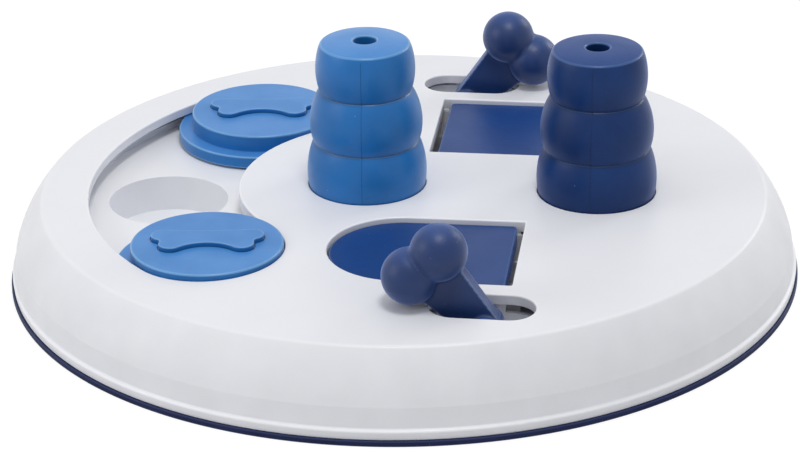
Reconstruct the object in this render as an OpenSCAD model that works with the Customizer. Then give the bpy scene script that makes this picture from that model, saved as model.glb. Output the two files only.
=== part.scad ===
// Round treat puzzle board for a dog, with two lift-off cones, two sliding discs and two lever flaps.
// The origin is the middle of the underside, on the floor. +Z is up, +X runs along the line of the cones,
// and -Y is the front.

/* [Board] */
// Diameter over the anti-slip ring
board_d = 230; // [228:1:250]
// Height of the top's edge above the floor
board_h = 25; // [24.5:0.5:32]
// How far the gently crowned top rises from its edge to its middle
crown = 1; // [0.6:0.1:1.2]
// How far the top's edge stands in from the anti-slip ring
top_in = 9.8; // [9:0.2:12]
// How far the foot of the shoulder stands in from the anti-slip ring
shoulder_in = 1.9; // [1.6:0.1:2.6]
// Height of the foot of the shoulder above the floor
shoulder_z = 10.6; // [9:0.2:13]
// How far the shoulder bulges out from a straight line
shoulder_bulge = 1; // [0.4:0.1:1.6]
// Radius of the rounding between the shoulder and the top
top_round = 1.6; // [1:0.1:2.2]
// Wall of the cover
wall = 2.4; // [2:0.1:2.8]
// Wall of the skirt
skirt_wall = 2; // [1.8:0.1:2.4]
// Height of the beaded hem above the anti-slip ring
bead_h = 2.4; // [2:0.1:3]

/* [Anti-slip ring and base] */
// Thickness of the anti-slip ring
ring_h = 1.7; // [1.5:0.1:2]
// Width of the anti-slip ring's flat band
ring_w = 9; // [8:0.5:10]
// Width of the rib that keys the ring into the base plate
ring_rib_w = 1.2; // [1:0.1:1.5]
// Height of that rib
ring_rib_h = 1; // [0.8:0.1:1.1]
// Thickness of the base plate
base_t = 2.2; // [2:0.1:2.4]

/* [Slider track] */
// How far the middle line of the track stands in from the anti-slip ring
track_in = 45.3; // [45:0.1:47]
// Angle from the middle of the track to each of its ends
track_half = 45; // [42:1:48]
// Diameter of the cap that a paw pushes
cap_d = 43; // [41:0.5:44]
// Height of the cap above the top's edge
cap_rise = 2.25; // [1.5:0.05:3]
// Thickness of the cap's roof
cap_roof = 1.8; // [1.4:0.1:2.2]
// Thickness of the cap's side
cap_wall = 1.8; // [1.4:0.1:2.4]
// Diameter of the lower plate that is kept under the window's lips
plate_d = 51.4; // [50:0.2:52]
// Height of the lower plate
plate_t = 3.7; // [3.2:0.1:4.2]
// Thickness of the lower plate's skin and of its rim
plate_skin = 1.8; // [1.4:0.1:2]
// Height of the runners under the lower plate
runner_h = 0.4; // [0.3:0.05:0.6]
// Width of a runner
runner_w = 1.2; // [1:0.1:1.6]

/* [Bone on the caps] */
// Length of the raised bone over the knuckles of its back side
bone_l = 31.8; // [30:0.2:33]
// Length over the knuckles of its front side
bone_front_l = 26.8; // [25:0.2:28]
// Width over the bone's knuckles
bone_w = 12.6; // [12:0.2:14]
// Radius of a knuckle
bone_knuckle_r = 3.4; // [3.2:0.1:3.6]
// Width of the bone's shank
bone_shank = 8; // [7:0.2:8.4]
// How far the middle of the shank bows towards the back
bone_bow = 1.6; // [1:0.1:2]
// Angle that the bone is turned by on its cap
bone_turn = 6.5; // [0:0.5:10]
// Height of the bone above the cap
bone_h = 1.3; // [0.8:0.1:1.8]

/* [Treat wells] */
// Diameter of the wells under the slider track
well_d = 35; // [32:0.5:36]
// Diameter of the wells under the cones
cone_well_d = 26; // [24:0.5:26]
// Gap between the underside of the wells and the base plate
well_gap = 1.65; // [1:0.05:2.5]
// Wall of the wells and of the tray's ribs
well_wall = 1.5; // [1.2:0.1:1.8]
// Thickness of the tray's plate
tray_t = 1.6; // [1.4:0.1:2]

/* [Cones] */
// Distance from the inner side of the track's guide to the middle of the left cone
cone_left_in = 33.2; // [33:0.1:34]
// How far the middle of the right cone stands in from the anti-slip ring
cone_right_in = 58.7; // [56:0.1:60]
// Diameter of the cone's foot
cone_foot_d = 32.8; // [32:0.1:33]
// Widest diameter of the low bulge
cone_low_d = 34.6; // [34:0.1:36]
// Height of the low bulge above the top's edge
cone_low_h = 14.9; // [13:0.1:16]
// Diameter of the low waist
waist_low_d = 30.4; // [29.6:0.1:31]
// Widest diameter of the middle bulge
cone_mid_d = 32.4; // [32:0.1:33]
// Height of the middle bulge
cone_mid_h = 15.6; // [14:0.1:17]
// Diameter of the high waist
waist_high_d = 26.5; // [26:0.1:27.4]
// Widest diameter of the high bulge
cone_high_d = 28.8; // [28:0.1:30]
// Height of the high bulge
cone_high_h = 13.9; // [13:0.1:16]
// Diameter of the cone's gently domed top
cone_top_d = 25.7; // [25:0.1:26.4]
// How far the cone's top rises from its edge to the scent hole
cone_dome = 0.9; // [0.6:0.1:1.2]
// Wall of the cone at its waists
cone_wall = 1.6; // [1.4:0.1:1.8]
// Wall of the cone at the edge of its top
cone_top_wall = 2.2; // [1.8:0.1:2.4]
// Thickness of the cone's top
cone_roof = 2; // [1.6:0.1:2.4]
// Diameter of the scent hole in the cone's top
scent_hole_d = 6.8; // [6:0.1:8]
// Depth of the ring-shaped seat that the cone stands in
seat_deep = 0.8; // [0.6:0.1:1.2]

/* [Flaps] */
// How far the point that the flaps are turned half a turn about lies from midway between the cones
flap_shift = 1.5; // [1:0.1:2]
// Distance between the middle lines of a flap and its lever slot
flap_apart = 34.4; // [34:0.1:35]
// Width of a flap opening
flap_open_w = 42; // [41:0.1:42.4]
// Length of a flap opening, from its straight edge to its round end
flap_open_l = 53.8; // [50:0.2:56]
// Distance along X from the half-turn point to the opening's straight edge
flap_edge_x = 16.5; // [16:0.1:17]
// Thickness of a flap
flap_t = 2.6; // [2.4:0.1:2.8]
// How far the flap lies below the top's edge
flap_sink = 0.3; // [0.2:0.1:0.5]
// Gap around the flap
flap_gap = 0.5; // [0.4:0.05:0.7]
// Gap at the flap's straight end
tail_gap = 2.2; // [2.1:0.05:2.4]
// How far the hinge stands in from the opening's straight edge
pivot_in = 5.5; // [5.4:0.1:6]
// How far the hinge lies below the top's edge
pivot_drop = 5.2; // [5:0.1:5.4]
// Diameter of the flap's hinge barrel
barrel_d = 6; // [5.4:0.1:6]

/* [Levers] */
// Place along X of a lever slot's middle, from the half-turn point
slot_x = 9.6; // [9.2:0.1:10]
// How far the middle line of a lever slot stands in from the anti-slip ring
slot_in = 35.4; // [35:0.1:36]
// Length of a lever slot
slot_l = 29.2; // [28.6:0.1:30]
// Width of a lever slot
slot_w = 14.7; // [14:0.1:15]
// How far the tray's walls around the track, the flaps' straight ends and the lever pockets lie below it
wall_drop = 5.2; // [5:0.1:5.4]
// Depth of the pocket under a lever slot, below the top's edge
pocket_deep = 12; // [11.6:0.1:12.4]
// How far the lever stands out from the slot's middle
lever_off = 0.8; // [0:0.1:1.2]
// How far the lever leans from upright while its flap is shut
lever_lean = 43; // [40:1:44]
// Distance from the hinge to the middle of the two knobs
lever_reach = 24.6; // [24:0.1:27]
// Diameter of a knob
knob_d = 15.8; // [15:0.1:16]
// Distance between the middles of the two knobs
knob_apart = 10.7; // [10:0.1:11.4]
// Width of the lever's shank at its hinge
shank_w = 9.2; // [9:0.1:9.4]
// Width of the lever's shank where it meets the knobs
shank_top_w = 16.4; // [15.6:0.1:16.6]
// Thickness of the lever's shank
shank_t = 5; // [4:0.1:6.4]
// Diameter of the lever's hub
hub_d = 8.8; // [8:0.1:8.8]
// Diameter of the steel hinge pin
pin_d = 3.2; // [3:0.1:3.4]
// Depth of the flats that make flap, pin and lever turn together
pin_flat = 0.5; // [0.4:0.05:0.6]

/* [Fasteners] */
// Diameter of the case screws' thread
case_screw_d = 2.6; // [2.4:0.1:2.8]
// Number of case screws
case_screw_n = 6; // [4:1:6]
// How far the case screws stand in from the anti-slip ring
case_screw_in = 13.5; // [13:0.1:14]
// Angle of the first case screw
case_screw_a = 15; // [12:1:18]
// Diameter of the tray screws' thread
tray_screw_d = 2.2; // [2:0.1:2.4]
// Diameter of the disc screws' thread
disc_screw_d = 2; // [1.8:0.1:2.2]
// Number of screws in each disc
disc_screw_n = 3; // [3:1:4]
// Distance from a disc's middle to its screws
disc_screw_r = 12; // [10:0.5:14]
// How far the tray screw beyond the right cone stands in from the anti-slip ring
right_boss_in = 27; // [26:1:28]
// How far the tray screws beside the flaps stand out from the round end of a flap's opening
side_boss_out = 7.4; // [6.4:0.2:8]
// Angle of those screws about the middle of that round end
side_boss_a = 6; // [0:1:12]
// How far the tray screws beside the lever slots stand in from the anti-slip ring
outer_boss_in = 29.7; // [28:0.1:32]
// Angle of the tray screws beside the lever slots
outer_boss_a = 100; // [99:1:102]

/* [Clearances] */
// Gap between faces that pass each other
run_gap = 0.3; // [0.25:0.05:0.35]
// Gap between a sliding disc's runners and the floor
slide_gap = 0.25; // [0.2:0.05:0.35]
// Gap between the cover's underside and what rises to it
top_gap = 0.2; // [0.15:0.05:0.3]
// Radial gap around a cone in its seat, and around its well's mouth
seat_gap = 0.4; // [0.3:0.05:0.5]
// Gap above a sliding disc's lower plate
lip_gap = 0.4; // [0.3:0.05:0.5]
// Radial gap of a shaft in its bearing
bearing_gap = 0.05; // [0.03:0.01:0.08]
// Radial gap of a part pressed or screwed into a hole
press_gap = 0.02; // [0.01:0.01:0.03]
// Gap beyond the tip of a screw or a pin
tip_gap = 0.5; // [0.3:0.1:0.6]
// Radial gap of a screw where it passes through a plate
screw_play = 0.15; // [0.1:0.05:0.2]

/* [Hidden] */
$fn = 96;

// Colours
white = "#e6e8ec";
light_blue = "#6495d6";
navy = "#34507f";
ring_navy = "#2d3250";
steel = "#b9bdc2";

// The two ends of the pair, front and back
front = 1;
back = -1;
sides = [front, back];

// Heights, from the top down
board_r = board_d / 2;
under_z = board_h - wall;
rise_z = under_z - top_gap;
wall_top = board_h - wall_drop;
plate_top = under_z - lip_gap;
plate_z = plate_top - plate_t;
floor_z = plate_z - runner_h - slide_gap;
tray_z = floor_z - tray_t;
cap_top = board_h + cap_rise;
flap_top = board_h - flap_sink;
flap_z = flap_top - flap_t;
ledge_z = flap_z - run_gap;
pivot_z = board_h - pivot_drop;
base_top = ring_h + base_t;
well_z = base_top + well_gap + well_wall;

// Shell
foot_r = board_r - shoulder_in;
skirt_in_r = foot_r - skirt_wall;
top_r = board_r - top_in;
shoulder_run = [top_r - foot_r, board_h - shoulder_z];
shoulder_out = [shoulder_run[1], -shoulder_run[0]] / norm(shoulder_run);
shoulder_steps = 8;
shell_last = 0.86; // share of the shoulder that the cover's inside follows before it turns flat
top_land = 3;
crown_flat = 0.5; // share of the top's radius that stays level in the middle
crown_steps = 5;
bead_out = 0.5; // how far the hem's bead stands in from the anti-slip ring
lip_in = 0.7;
groove_in = 1.5; // how far the groove above the bead stands in
groove_w = 0.5;
ring_edge = 0.35; // chamfer on the anti-slip ring
rib_r = board_r - ring_w / 2 - skirt_wall;
function crown_at(t) = [(top_r - top_round / 2) * (crown_flat + (1 - crown_flat) * t),
    board_h + crown * (1 - t * t)];
function shoulder_at(t, inset) = [foot_r, shoulder_z] + shoulder_run * t
    + shoulder_out * (4 * shoulder_bulge * t * (1 - t) - inset);

// Track
track_r = board_r - track_in;
cap_r = cap_d / 2;
plate_r = plate_d / 2;
window_half = cap_r + run_gap;
guide_half = plate_r + run_gap;
sector_reach = 2.5 * track_r;
runner_off = (well_d / 2 + plate_r - plate_skin) / 2 - runner_w / 2;
well_angles = [180 - track_half, 180, 180 + track_half];
disc_front_a = 180 + track_half;
disc_back_a = 180 - track_half;

// Cones
cone_left_x = cone_left_in + guide_half - track_r;
cone_right_x = board_r - cone_right_in;
seat_z = board_h - seat_deep;
cone_z = seat_z + run_gap;
seat_r = cone_foot_d / 2 + 2 * seat_gap;
seat_in_r = cone_foot_d / 2 - cone_wall - 2 * seat_gap;
cone_cup_r = cone_well_d / 2 + seat_gap;
bulge_steps = 10;
bulge_power = 0.7;
dome_steps = 3;
function bulge(r0, z0, r1, z1, widest) = [for (i = [0:bulge_steps - 1])
    let (t = i / bulge_steps)
    [r0 + (r1 - r0) * t + (widest - (r0 + r1) / 2) * pow(sin(180 * t), bulge_power), z0 + (z1 - z0) * t]];

// Flaps and levers, in a flap's own frame: its half-turn point is the origin, and it lies towards -Y
flap_x = (cone_left_x + cone_right_x) / 2 - flap_shift;
slot_y = board_r - slot_in;
flap_y = slot_y - flap_apart;
flap_r = flap_open_w / 2;
flap_round_x = flap_edge_x - flap_open_l + flap_r;
pivot_x = flap_edge_x - pivot_in;
pin_r = pin_d / 2;
well_ledge = 1.2; // how far the well's rim reaches in under the flap
well_end = 0.9; // how far the well reaches past the opening's straight edge
barrel_l = flap_open_w - 2 * well_ledge - 2 * run_gap;
tail_half = flap_r - flap_gap + run_gap; // half width of the room for the flap's tail
tail_reach = norm([flap_edge_x - tail_gap - pivot_x, flap_top - pivot_z]) + run_gap;
pocket_grow = 1; // how far the pocket is wider than its slot
pocket_w = slot_w + 2 * pocket_grow;
pocket_l = slot_l + 2 * pocket_grow;
pocket_z = board_h - pocket_deep;
lever_y = slot_y + lever_off;
block_w = 8.4; // width of the hinge pin's bearing blocks
inner_block_y = flap_y - flap_r;
inner_block_t = 3.6;
outer_wall_y = slot_y + pocket_w / 2;
outer_block_t = 3.4;
block_out_y = outer_wall_y + outer_block_t;
pin_in_y = inner_block_y - inner_block_t + tip_gap + run_gap;
pin_out_y = block_out_y - outer_block_t / 2;
plug_head_t = 1;
plug_head_r = 2.6;
hub_core_w = 9;
hub_sleeve_d = 2 * (rise_z - pivot_z);
hub_l = pocket_w - 2 * run_gap;

// Fasteners
case_screw_r = board_r - case_screw_in;
case_boss_r = 3.4;
case_head_r = 2.8;
case_head_h = 1.1;
case_screw_l = 9.5;
tray_boss_r = 3.2;
tray_head_r = 2.2;
tray_head_h = 1.3;
tray_screw_top = under_z - tip_gap;
disc_boss_r = 2.4;
disc_head_r = 2;
disc_head_h = 1.2;
disc_screw_top = cap_top - cap_roof - tip_gap;
drive_share = 0.7; // length of a screw's cross drive, as a share of its head's diameter
drive_w = 0.7;
drive_deep = 0.6;
function polar(r, angle) = [r * cos(angle), r * sin(angle)];
tray_bosses = [
    [(cone_left_x + cone_right_x) / 2, 0],
    [board_r - right_boss_in, 0],
    for (s = sides) [flap_x - flap_round_x + (flap_r + side_boss_out) * cos(side_boss_a),
        s * (flap_y + (flap_r + side_boss_out) * sin(side_boss_a))],
    for (s = sides) polar(board_r - outer_boss_in, s * outer_boss_a),
    [(cone_left_x - cone_cup_r - (track_r - guide_half)) / 2, 0]];
bite = 0.5; // overlap that joins two shapes of one piece
cut = 1; // how far a cutting shape passes the face it cuts

// ---- Places ----

module at_flap(side) {
    translate([flap_x, 0, 0]) rotate([0, 0, side == front ? 0 : 180]) children();
}

module at_disc(angle) {
    translate(polar(track_r, angle)) children();
}

module at_case_screws() {
    for (i = [0:case_screw_n - 1])
        rotate([0, 0, case_screw_a + i * 360 / case_screw_n]) translate([case_screw_r, 0, 0]) children();
}

module at_disc_screws() {
    for (i = [0:disc_screw_n - 1])
        rotate([0, 0, i * 360 / disc_screw_n]) translate([disc_screw_r, 0, 0]) children();
}

module at_pivot() {
    translate([pivot_x, 0, pivot_z]) rotate([90, 0, 0]) children();
}

// ---- Shared outlines ----

// Crescent band of the slider track, half_w to each side of its middle line, with round ends
module track_2d(half_w) {
    intersection() {
        difference() {
            circle(track_r + half_w);
            circle(track_r - half_w);
        }
        polygon([[0, 0], polar(sector_reach, disc_back_a), polar(sector_reach, disc_front_a)]);
    }
    for (a = [disc_back_a, disc_front_a]) at_disc(a) circle(half_w);
}

// D-shaped outline of a flap opening, grown by grow, and by end_grow at its straight end
module flap_2d(grow, end_grow) {
    translate([0, -flap_y]) {
        translate([flap_round_x, 0]) circle(flap_r + grow);
        translate([flap_round_x, -flap_r - grow])
            square([flap_edge_x + end_grow - flap_round_x, 2 * (flap_r + grow)]);
    }
}

// Round-ended outline of a lever slot
module slot_2d(length, width) {
    translate([slot_x, -slot_y]) {
        square([length - width, width], center = true);
        for (s = sides) translate([s * (length - width) / 2, 0]) circle(width / 2);
    }
}

// Screw with a pan head below z = 0, its cross drive cut from below, and its shank above
module screw(d, length, head_r, head_h) {
    difference() {
        union() {
            translate([0, 0, -head_h]) cylinder(r = head_r, h = head_h);
            cylinder(d = d, h = length);
        }
        for (a = [0, 90])
            rotate([0, 0, a]) translate([0, 0, -head_h])
                cube([2 * drive_share * head_r, drive_w, 2 * drive_deep], center = true);
    }
}

// Length of shaft along +Z with one flat; the flat faces down once the shaft lies along Y
module flatted_shaft(r, length, flat_at) {
    difference() {
        cylinder(r = r, h = length);
        translate([-2 * r, -2 * r - flat_at, -cut]) cube([4 * r, 2 * r, length + 2 * cut]);
    }
}

// ---- Top cover ----

module cover_shell() {
    rotate_extrude() polygon(concat(
        [[board_r - lip_in, ring_h],
         [board_r - bead_out, ring_h + bead_h / 4],
         [board_r - bead_out, ring_h + bead_h / 2],
         [board_r - lip_in - bead_out / 2, ring_h + bead_h],
         [board_r - groove_in, ring_h + bead_h + groove_w / 2],
         [board_r - groove_in + groove_w / 4, ring_h + bead_h + groove_w],
         [foot_r, shoulder_z - shoulder_in / 2]],
        [for (i = [1:shoulder_steps - 1]) shoulder_at(i / shoulder_steps, 0)],
        [[top_r + top_round / 6, board_h - top_round / 3]],
        [for (i = [crown_steps:-1:0]) crown_at(i / crown_steps)],
        [[0, board_h + crown], [0, under_z], [top_r - top_land, under_z]],
        [for (i = [shoulder_steps:-1:0]) shoulder_at(shell_last * i / shoulder_steps, wall)],
        [[skirt_in_r, ring_h]]));
}

module cone_seat_cut() {
    translate([0, 0, under_z - cut]) cylinder(d = cone_well_d, h = wall + crown + 2 * cut);
    translate([0, 0, seat_z]) difference() {
        cylinder(r = seat_r, h = seat_deep + crown + cut);
        translate([0, 0, -cut]) cylinder(r = seat_in_r, h = seat_deep + crown + 3 * cut);
    }
}

module top_cover() {
    color(white) difference() {
        union() {
            cover_shell();
            at_case_screws() translate([0, 0, base_top])
                cylinder(r = case_boss_r, h = under_z - base_top + bite);
            for (p = tray_bosses) translate([p[0], p[1], floor_z])
                cylinder(r = tray_boss_r, h = under_z - floor_z + bite);
        }
        translate([0, 0, under_z - cut]) linear_extrude(wall + crown + 2 * cut) {
            track_2d(window_half);
            for (s = sides) at_flap(s) {
                flap_2d(0, 0);
                slot_2d(slot_l, slot_w);
            }
        }
        for (x = [cone_left_x, cone_right_x]) translate([x, 0, 0]) cone_seat_cut();
        at_case_screws() translate([0, 0, base_top - cut])
            cylinder(d = case_screw_d + 2 * press_gap, h = case_screw_l + cut);
        for (p = tray_bosses) translate([p[0], p[1], floor_z - cut])
            cylinder(d = tray_screw_d + 2 * press_gap, h = tray_screw_top - floor_z + cut + bite);
    }
}

// ---- Well tray ----

module cup(r, top) {
    translate([0, 0, well_z - well_wall]) cylinder(r = r + well_wall, h = top - well_z + well_wall);
}

module cup_hollow(r) {
    translate([0, 0, well_z]) cylinder(r = r, h = board_h);
}

// Walls of one flap's well and lever pocket, with the bearing blocks of its hinge pin
module flap_well_body() {
    translate([0, 0, well_z - well_wall]) linear_extrude(ledge_z - well_z + well_wall)
        flap_2d(well_wall - well_ledge + flap_gap, well_wall + well_end);
    translate([flap_edge_x + well_end, -flap_y - flap_r + well_ledge, tray_z])
        cube([well_wall, 2 * (flap_r - well_ledge), wall_top - tray_z]);
    translate([0, 0, pocket_z - well_wall]) linear_extrude(wall_top - pocket_z + well_wall)
        slot_2d(pocket_l + 2 * well_wall, pocket_w + 2 * well_wall);
    translate([pivot_x - block_w / 2, -inner_block_y, tray_z])
        cube([block_w, inner_block_t, rise_z - tray_z]);
    translate([pivot_x - block_w / 2, -slot_y, tray_z])
        cube([block_w, slot_y - flap_y - flap_r, rise_z - tray_z]);
    translate([pivot_x - block_w / 2, -block_out_y, tray_z])
        cube([block_w, outer_block_t + bite, rise_z - tray_z]);
}

module flap_well_hollow() {
    translate([0, 0, well_z]) linear_extrude(board_h) flap_2d(-well_ledge, well_end);
    translate([0, 0, pocket_z]) linear_extrude(board_h) slot_2d(pocket_l, pocket_w);
    // bore of the hinge pin, blind at its inner end
    at_pivot() translate([0, 0, pin_in_y - run_gap])
        cylinder(r = pin_r + bearing_gap, h = block_out_y - pin_in_y + run_gap + cut);
    // room for the flap's tail, which swings down as the flap opens
    translate([pivot_x - barrel_d / 2, -flap_y - tail_half, pivot_z - tail_reach])
        cube([flap_edge_x + well_end - pivot_x + barrel_d / 2, 2 * tail_half, board_h]);
    // notch in the plate's rim for the head of the bore's plug
    translate([pivot_x - block_w / 2, -block_out_y - block_w, tray_z - cut])
        cube([block_w, block_w, board_h]);
}

module well_tray() {
    color(white) difference() {
        union() {
            translate([0, 0, tray_z]) cylinder(r = track_r + guide_half + well_wall + run_gap, h = tray_t);
            translate([0, 0, tray_z]) linear_extrude(wall_top - tray_z) track_2d(guide_half + well_wall);
            for (a = well_angles) at_disc(a) cup(well_d / 2, floor_z);
            for (x = [cone_left_x, cone_right_x]) translate([x, 0, 0]) cup(cone_cup_r, rise_z);
            for (s = sides) at_flap(s) flap_well_body();
        }
        translate([0, 0, floor_z]) linear_extrude(board_h) track_2d(guide_half);
        for (a = well_angles) at_disc(a) cup_hollow(well_d / 2);
        for (x = [cone_left_x, cone_right_x]) translate([x, 0, 0]) cup_hollow(cone_cup_r);
        for (s = sides) at_flap(s) flap_well_hollow();
        for (p = tray_bosses) translate([p[0], p[1], tray_z - cut])
            cylinder(d = tray_screw_d + 2 * screw_play, h = tray_t + 2 * cut);
    }
}

// ---- Base plate and anti-slip ring ----

module base_plate() {
    color(white) difference() {
        translate([0, 0, ring_h]) cylinder(r = skirt_in_r - run_gap, h = base_t);
        rotate_extrude() translate([rib_r - ring_rib_w / 2 - bearing_gap, ring_h - cut])
            square([ring_rib_w + 2 * bearing_gap, cut + ring_rib_h + bearing_gap]);
        at_case_screws() {
            translate([0, 0, ring_h - cut]) cylinder(r = case_head_r + screw_play, h = case_head_h + cut);
            translate([0, 0, ring_h]) cylinder(d = case_screw_d + 2 * screw_play, h = base_t + cut);
        }
    }
}

module anti_slip_ring() {
    color(ring_navy) rotate_extrude() polygon([
        [board_r - ring_w, 0], [board_r - ring_edge, 0], [board_r, ring_edge],
        [board_r, ring_h - ring_edge], [board_r - ring_edge, ring_h],
        [rib_r + ring_rib_w / 2, ring_h], [rib_r + ring_rib_w / 2, ring_h + ring_rib_h],
        [rib_r - ring_rib_w / 2, ring_h + ring_rib_h], [rib_r - ring_rib_w / 2, ring_h],
        [board_r - ring_w, ring_h]]);
}

// ---- Cones ----

module cone() {
    low_z = board_h + cone_low_h;
    mid_z = low_z + cone_mid_h;
    top_z = mid_z + cone_high_h;
    rotate_extrude() polygon(concat(
        bulge(cone_foot_d / 2, cone_z, waist_low_d / 2, low_z, cone_low_d / 2),
        bulge(waist_low_d / 2, low_z, waist_high_d / 2, mid_z, cone_mid_d / 2),
        bulge(waist_high_d / 2, mid_z, cone_top_d / 2, top_z, cone_high_d / 2),
        [for (i = [dome_steps:-1:0]) let (t = i / dome_steps)
            [scent_hole_d / 2 + (cone_top_d - scent_hole_d) / 2 * t, top_z + cone_dome * (1 - t * t)]],
        [[scent_hole_d / 2, top_z + cone_dome - cone_roof],
         [cone_top_d / 2 - cone_top_wall, top_z - cone_roof], [waist_high_d / 2 - cone_wall, mid_z],
         [waist_low_d / 2 - cone_wall, low_z], [cone_foot_d / 2 - cone_wall, cone_z]]));
}

module cone_left() {
    color(light_blue) translate([cone_left_x, 0, 0]) cone();
}

module cone_right() {
    color(navy) translate([cone_right_x, 0, 0]) cone();
}

// ---- Sliding discs ----

module bone_2d() {
    back_x = bone_l / 2 - bone_knuckle_r;
    front_x = bone_front_l / 2 - bone_knuckle_r;
    knuckle_y = bone_w / 2 - bone_knuckle_r;
    side_y = knuckle_y + bone_knuckle_r / 2;
    rotate([0, 0, bone_turn]) {
        for (x = sides) {
            translate([x * back_x, knuckle_y]) circle(bone_knuckle_r);
            translate([x * front_x, -knuckle_y]) circle(bone_knuckle_r);
        }
        polygon([[-back_x, side_y], [0, bone_bow + bone_shank / 2], [back_x, side_y],
            [front_x, -side_y], [0, bone_bow - bone_shank / 2], [-front_x, -side_y]]);
    }
}

module disc_cap() {
    difference() {
        union() {
            difference() {
                translate([0, 0, plate_top]) cylinder(r = cap_r, h = cap_top - plate_top);
                translate([0, 0, plate_top - cut])
                    cylinder(r = cap_r - cap_wall, h = cap_top - plate_top - cap_roof + cut);
            }
            at_disc_screws() translate([0, 0, plate_top])
                cylinder(r = disc_boss_r, h = cap_top - cap_roof - plate_top + bite);
            translate([0, 0, cap_top - bite]) linear_extrude(bone_h + bite) bone_2d();
        }
        at_disc_screws() translate([0, 0, plate_top - cut])
            cylinder(d = disc_screw_d + 2 * press_gap, h = disc_screw_top - plate_top + cut + press_gap);
    }
}

// Lower plate with its runners, which follow the track's arcs
module disc_plate(angle) {
    difference() {
        at_disc(angle) difference() {
            translate([0, 0, plate_z]) cylinder(r = plate_r, h = plate_t);
            translate([0, 0, plate_z - cut])
                cylinder(r = plate_r - plate_skin, h = plate_t - plate_skin + cut);
        }
        at_disc(angle) at_disc_screws() translate([0, 0, plate_z])
            cylinder(d = disc_screw_d + 2 * screw_play, h = plate_t + cut);
    }
    translate([0, 0, plate_z - runner_h]) linear_extrude(plate_t - plate_skin + runner_h + bite)
        intersection() {
            at_disc(angle) circle(plate_r - plate_skin / 2);
            union() for (s = sides) difference() {
                circle(track_r + s * runner_off + runner_w / 2);
                circle(track_r + s * runner_off - runner_w / 2);
            }
        }
}

module disc_screws() {
    at_disc_screws() translate([0, 0, plate_top - plate_skin])
        screw(disc_screw_d, disc_screw_top - plate_top + plate_skin, disc_head_r, disc_head_h);
}

module disc_cap_front() {
    color(light_blue) at_disc(disc_front_a) disc_cap();
}

module disc_plate_front() {
    color(light_blue) disc_plate(disc_front_a);
}

module disc_screws_front() {
    color(steel) at_disc(disc_front_a) disc_screws();
}

module disc_cap_back() {
    color(light_blue) at_disc(disc_back_a) disc_cap();
}

module disc_plate_back() {
    color(light_blue) disc_plate(disc_back_a);
}

module disc_screws_back() {
    color(steel) at_disc(disc_back_a) disc_screws();
}

// ---- Flaps, levers and hinge pins ----

module flap() {
    difference() {
        union() {
            translate([0, 0, flap_z]) linear_extrude(flap_t) flap_2d(-flap_gap, -tail_gap);
            at_pivot() translate([0, 0, flap_y - barrel_l / 2]) cylinder(d = barrel_d, h = barrel_l);
        }
        at_pivot() translate([0, 0, flap_y - barrel_l / 2 - cut])
            flatted_shaft(pin_r + press_gap, barrel_l + 2 * cut, pin_r - pin_flat + press_gap);
    }
}

module lever() {
    translate([pivot_x, -lever_y, pivot_z]) difference() {
        rotate([0, -lever_lean, 0]) {
            rotate([90, 0, 0]) translate([0, 0, -shank_t / 2]) linear_extrude(shank_t)
                polygon([[-shank_w / 2, 0], [shank_w / 2, 0],
                    [shank_top_w / 2, lever_reach], [-shank_top_w / 2, lever_reach]]);
            // each knob's poles lie across the shank, and its seam on its free side
            for (s = sides) translate([s * knob_apart / 2, 0, lever_reach])
                rotate([90, 0, s > 0 ? 0 : 180]) sphere(d = knob_d);
            rotate([90, 0, 0]) cylinder(d = hub_d, h = hub_core_w, center = true);
            translate([0, lever_off, 0]) rotate([90, 0, 0])
                cylinder(d = hub_sleeve_d, h = hub_l, center = true);
        }
        translate([0, hub_l, 0]) rotate([90, 0, 0])
            flatted_shaft(pin_r + press_gap, 2 * hub_l, pin_r - pin_flat + press_gap);
    }
}

// Pin with one flat from its inner end to the lever's far side, so that it slides in from outside
module hinge_pin() {
    flat_l = slot_y + hub_l / 2 - pin_in_y;
    at_pivot() difference() {
        translate([0, 0, pin_in_y]) cylinder(r = pin_r, h = pin_out_y - pin_in_y);
        translate([-pin_d, -pin_d - pin_r + pin_flat, pin_in_y - cut]) cube([2 * pin_d, pin_d, flat_l + cut]);
    }
}

module pin_plug() {
    plug_in_y = pin_out_y + run_gap;
    at_pivot() {
        translate([0, 0, plug_in_y]) cylinder(r = pin_r + press_gap, h = block_out_y - plug_in_y + bite);
        translate([0, 0, block_out_y]) cylinder(r = plug_head_r, h = plug_head_t);
    }
}

module flap_front() {
    color(navy) at_flap(front) flap();
}

module lever_front() {
    color(navy) at_flap(front) lever();
}

module hinge_pin_front() {
    color(steel) at_flap(front) hinge_pin();
}

module flap_back() {
    color(navy) at_flap(back) flap();
}

module lever_back() {
    color(navy) at_flap(back) lever();
}

module hinge_pin_back() {
    color(steel) at_flap(back) hinge_pin();
}

module pin_plugs() {
    color(white) for (s = sides) at_flap(s) pin_plug();
}

// ---- Screws ----

module tray_screws() {
    color(steel) for (p = tray_bosses) translate([p[0], p[1], tray_z])
        screw(tray_screw_d, tray_screw_top - tray_z, tray_head_r, tray_head_h);
}

module base_screws() {
    color(steel) at_case_screws() translate([0, 0, ring_h + case_head_h])
        screw(case_screw_d, base_t - case_head_h + case_screw_l - tip_gap, case_head_r, case_head_h);
}

top_cover();
well_tray();
base_plate();
anti_slip_ring();
cone_left();
cone_right();
disc_cap_front();
disc_plate_front();
disc_screws_front();
disc_cap_back();
disc_plate_back();
disc_screws_back();
flap_front();
lever_front();
hinge_pin_front();
flap_back();
lever_back();
hinge_pin_back();
pin_plugs();
tray_screws();
base_screws();
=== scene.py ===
import math

import bmesh
import bpy
from mathutils import Matrix, Vector
from mathutils.geometry import delaunay_2d_cdt
from mathutils.kdtree import KDTree


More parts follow.
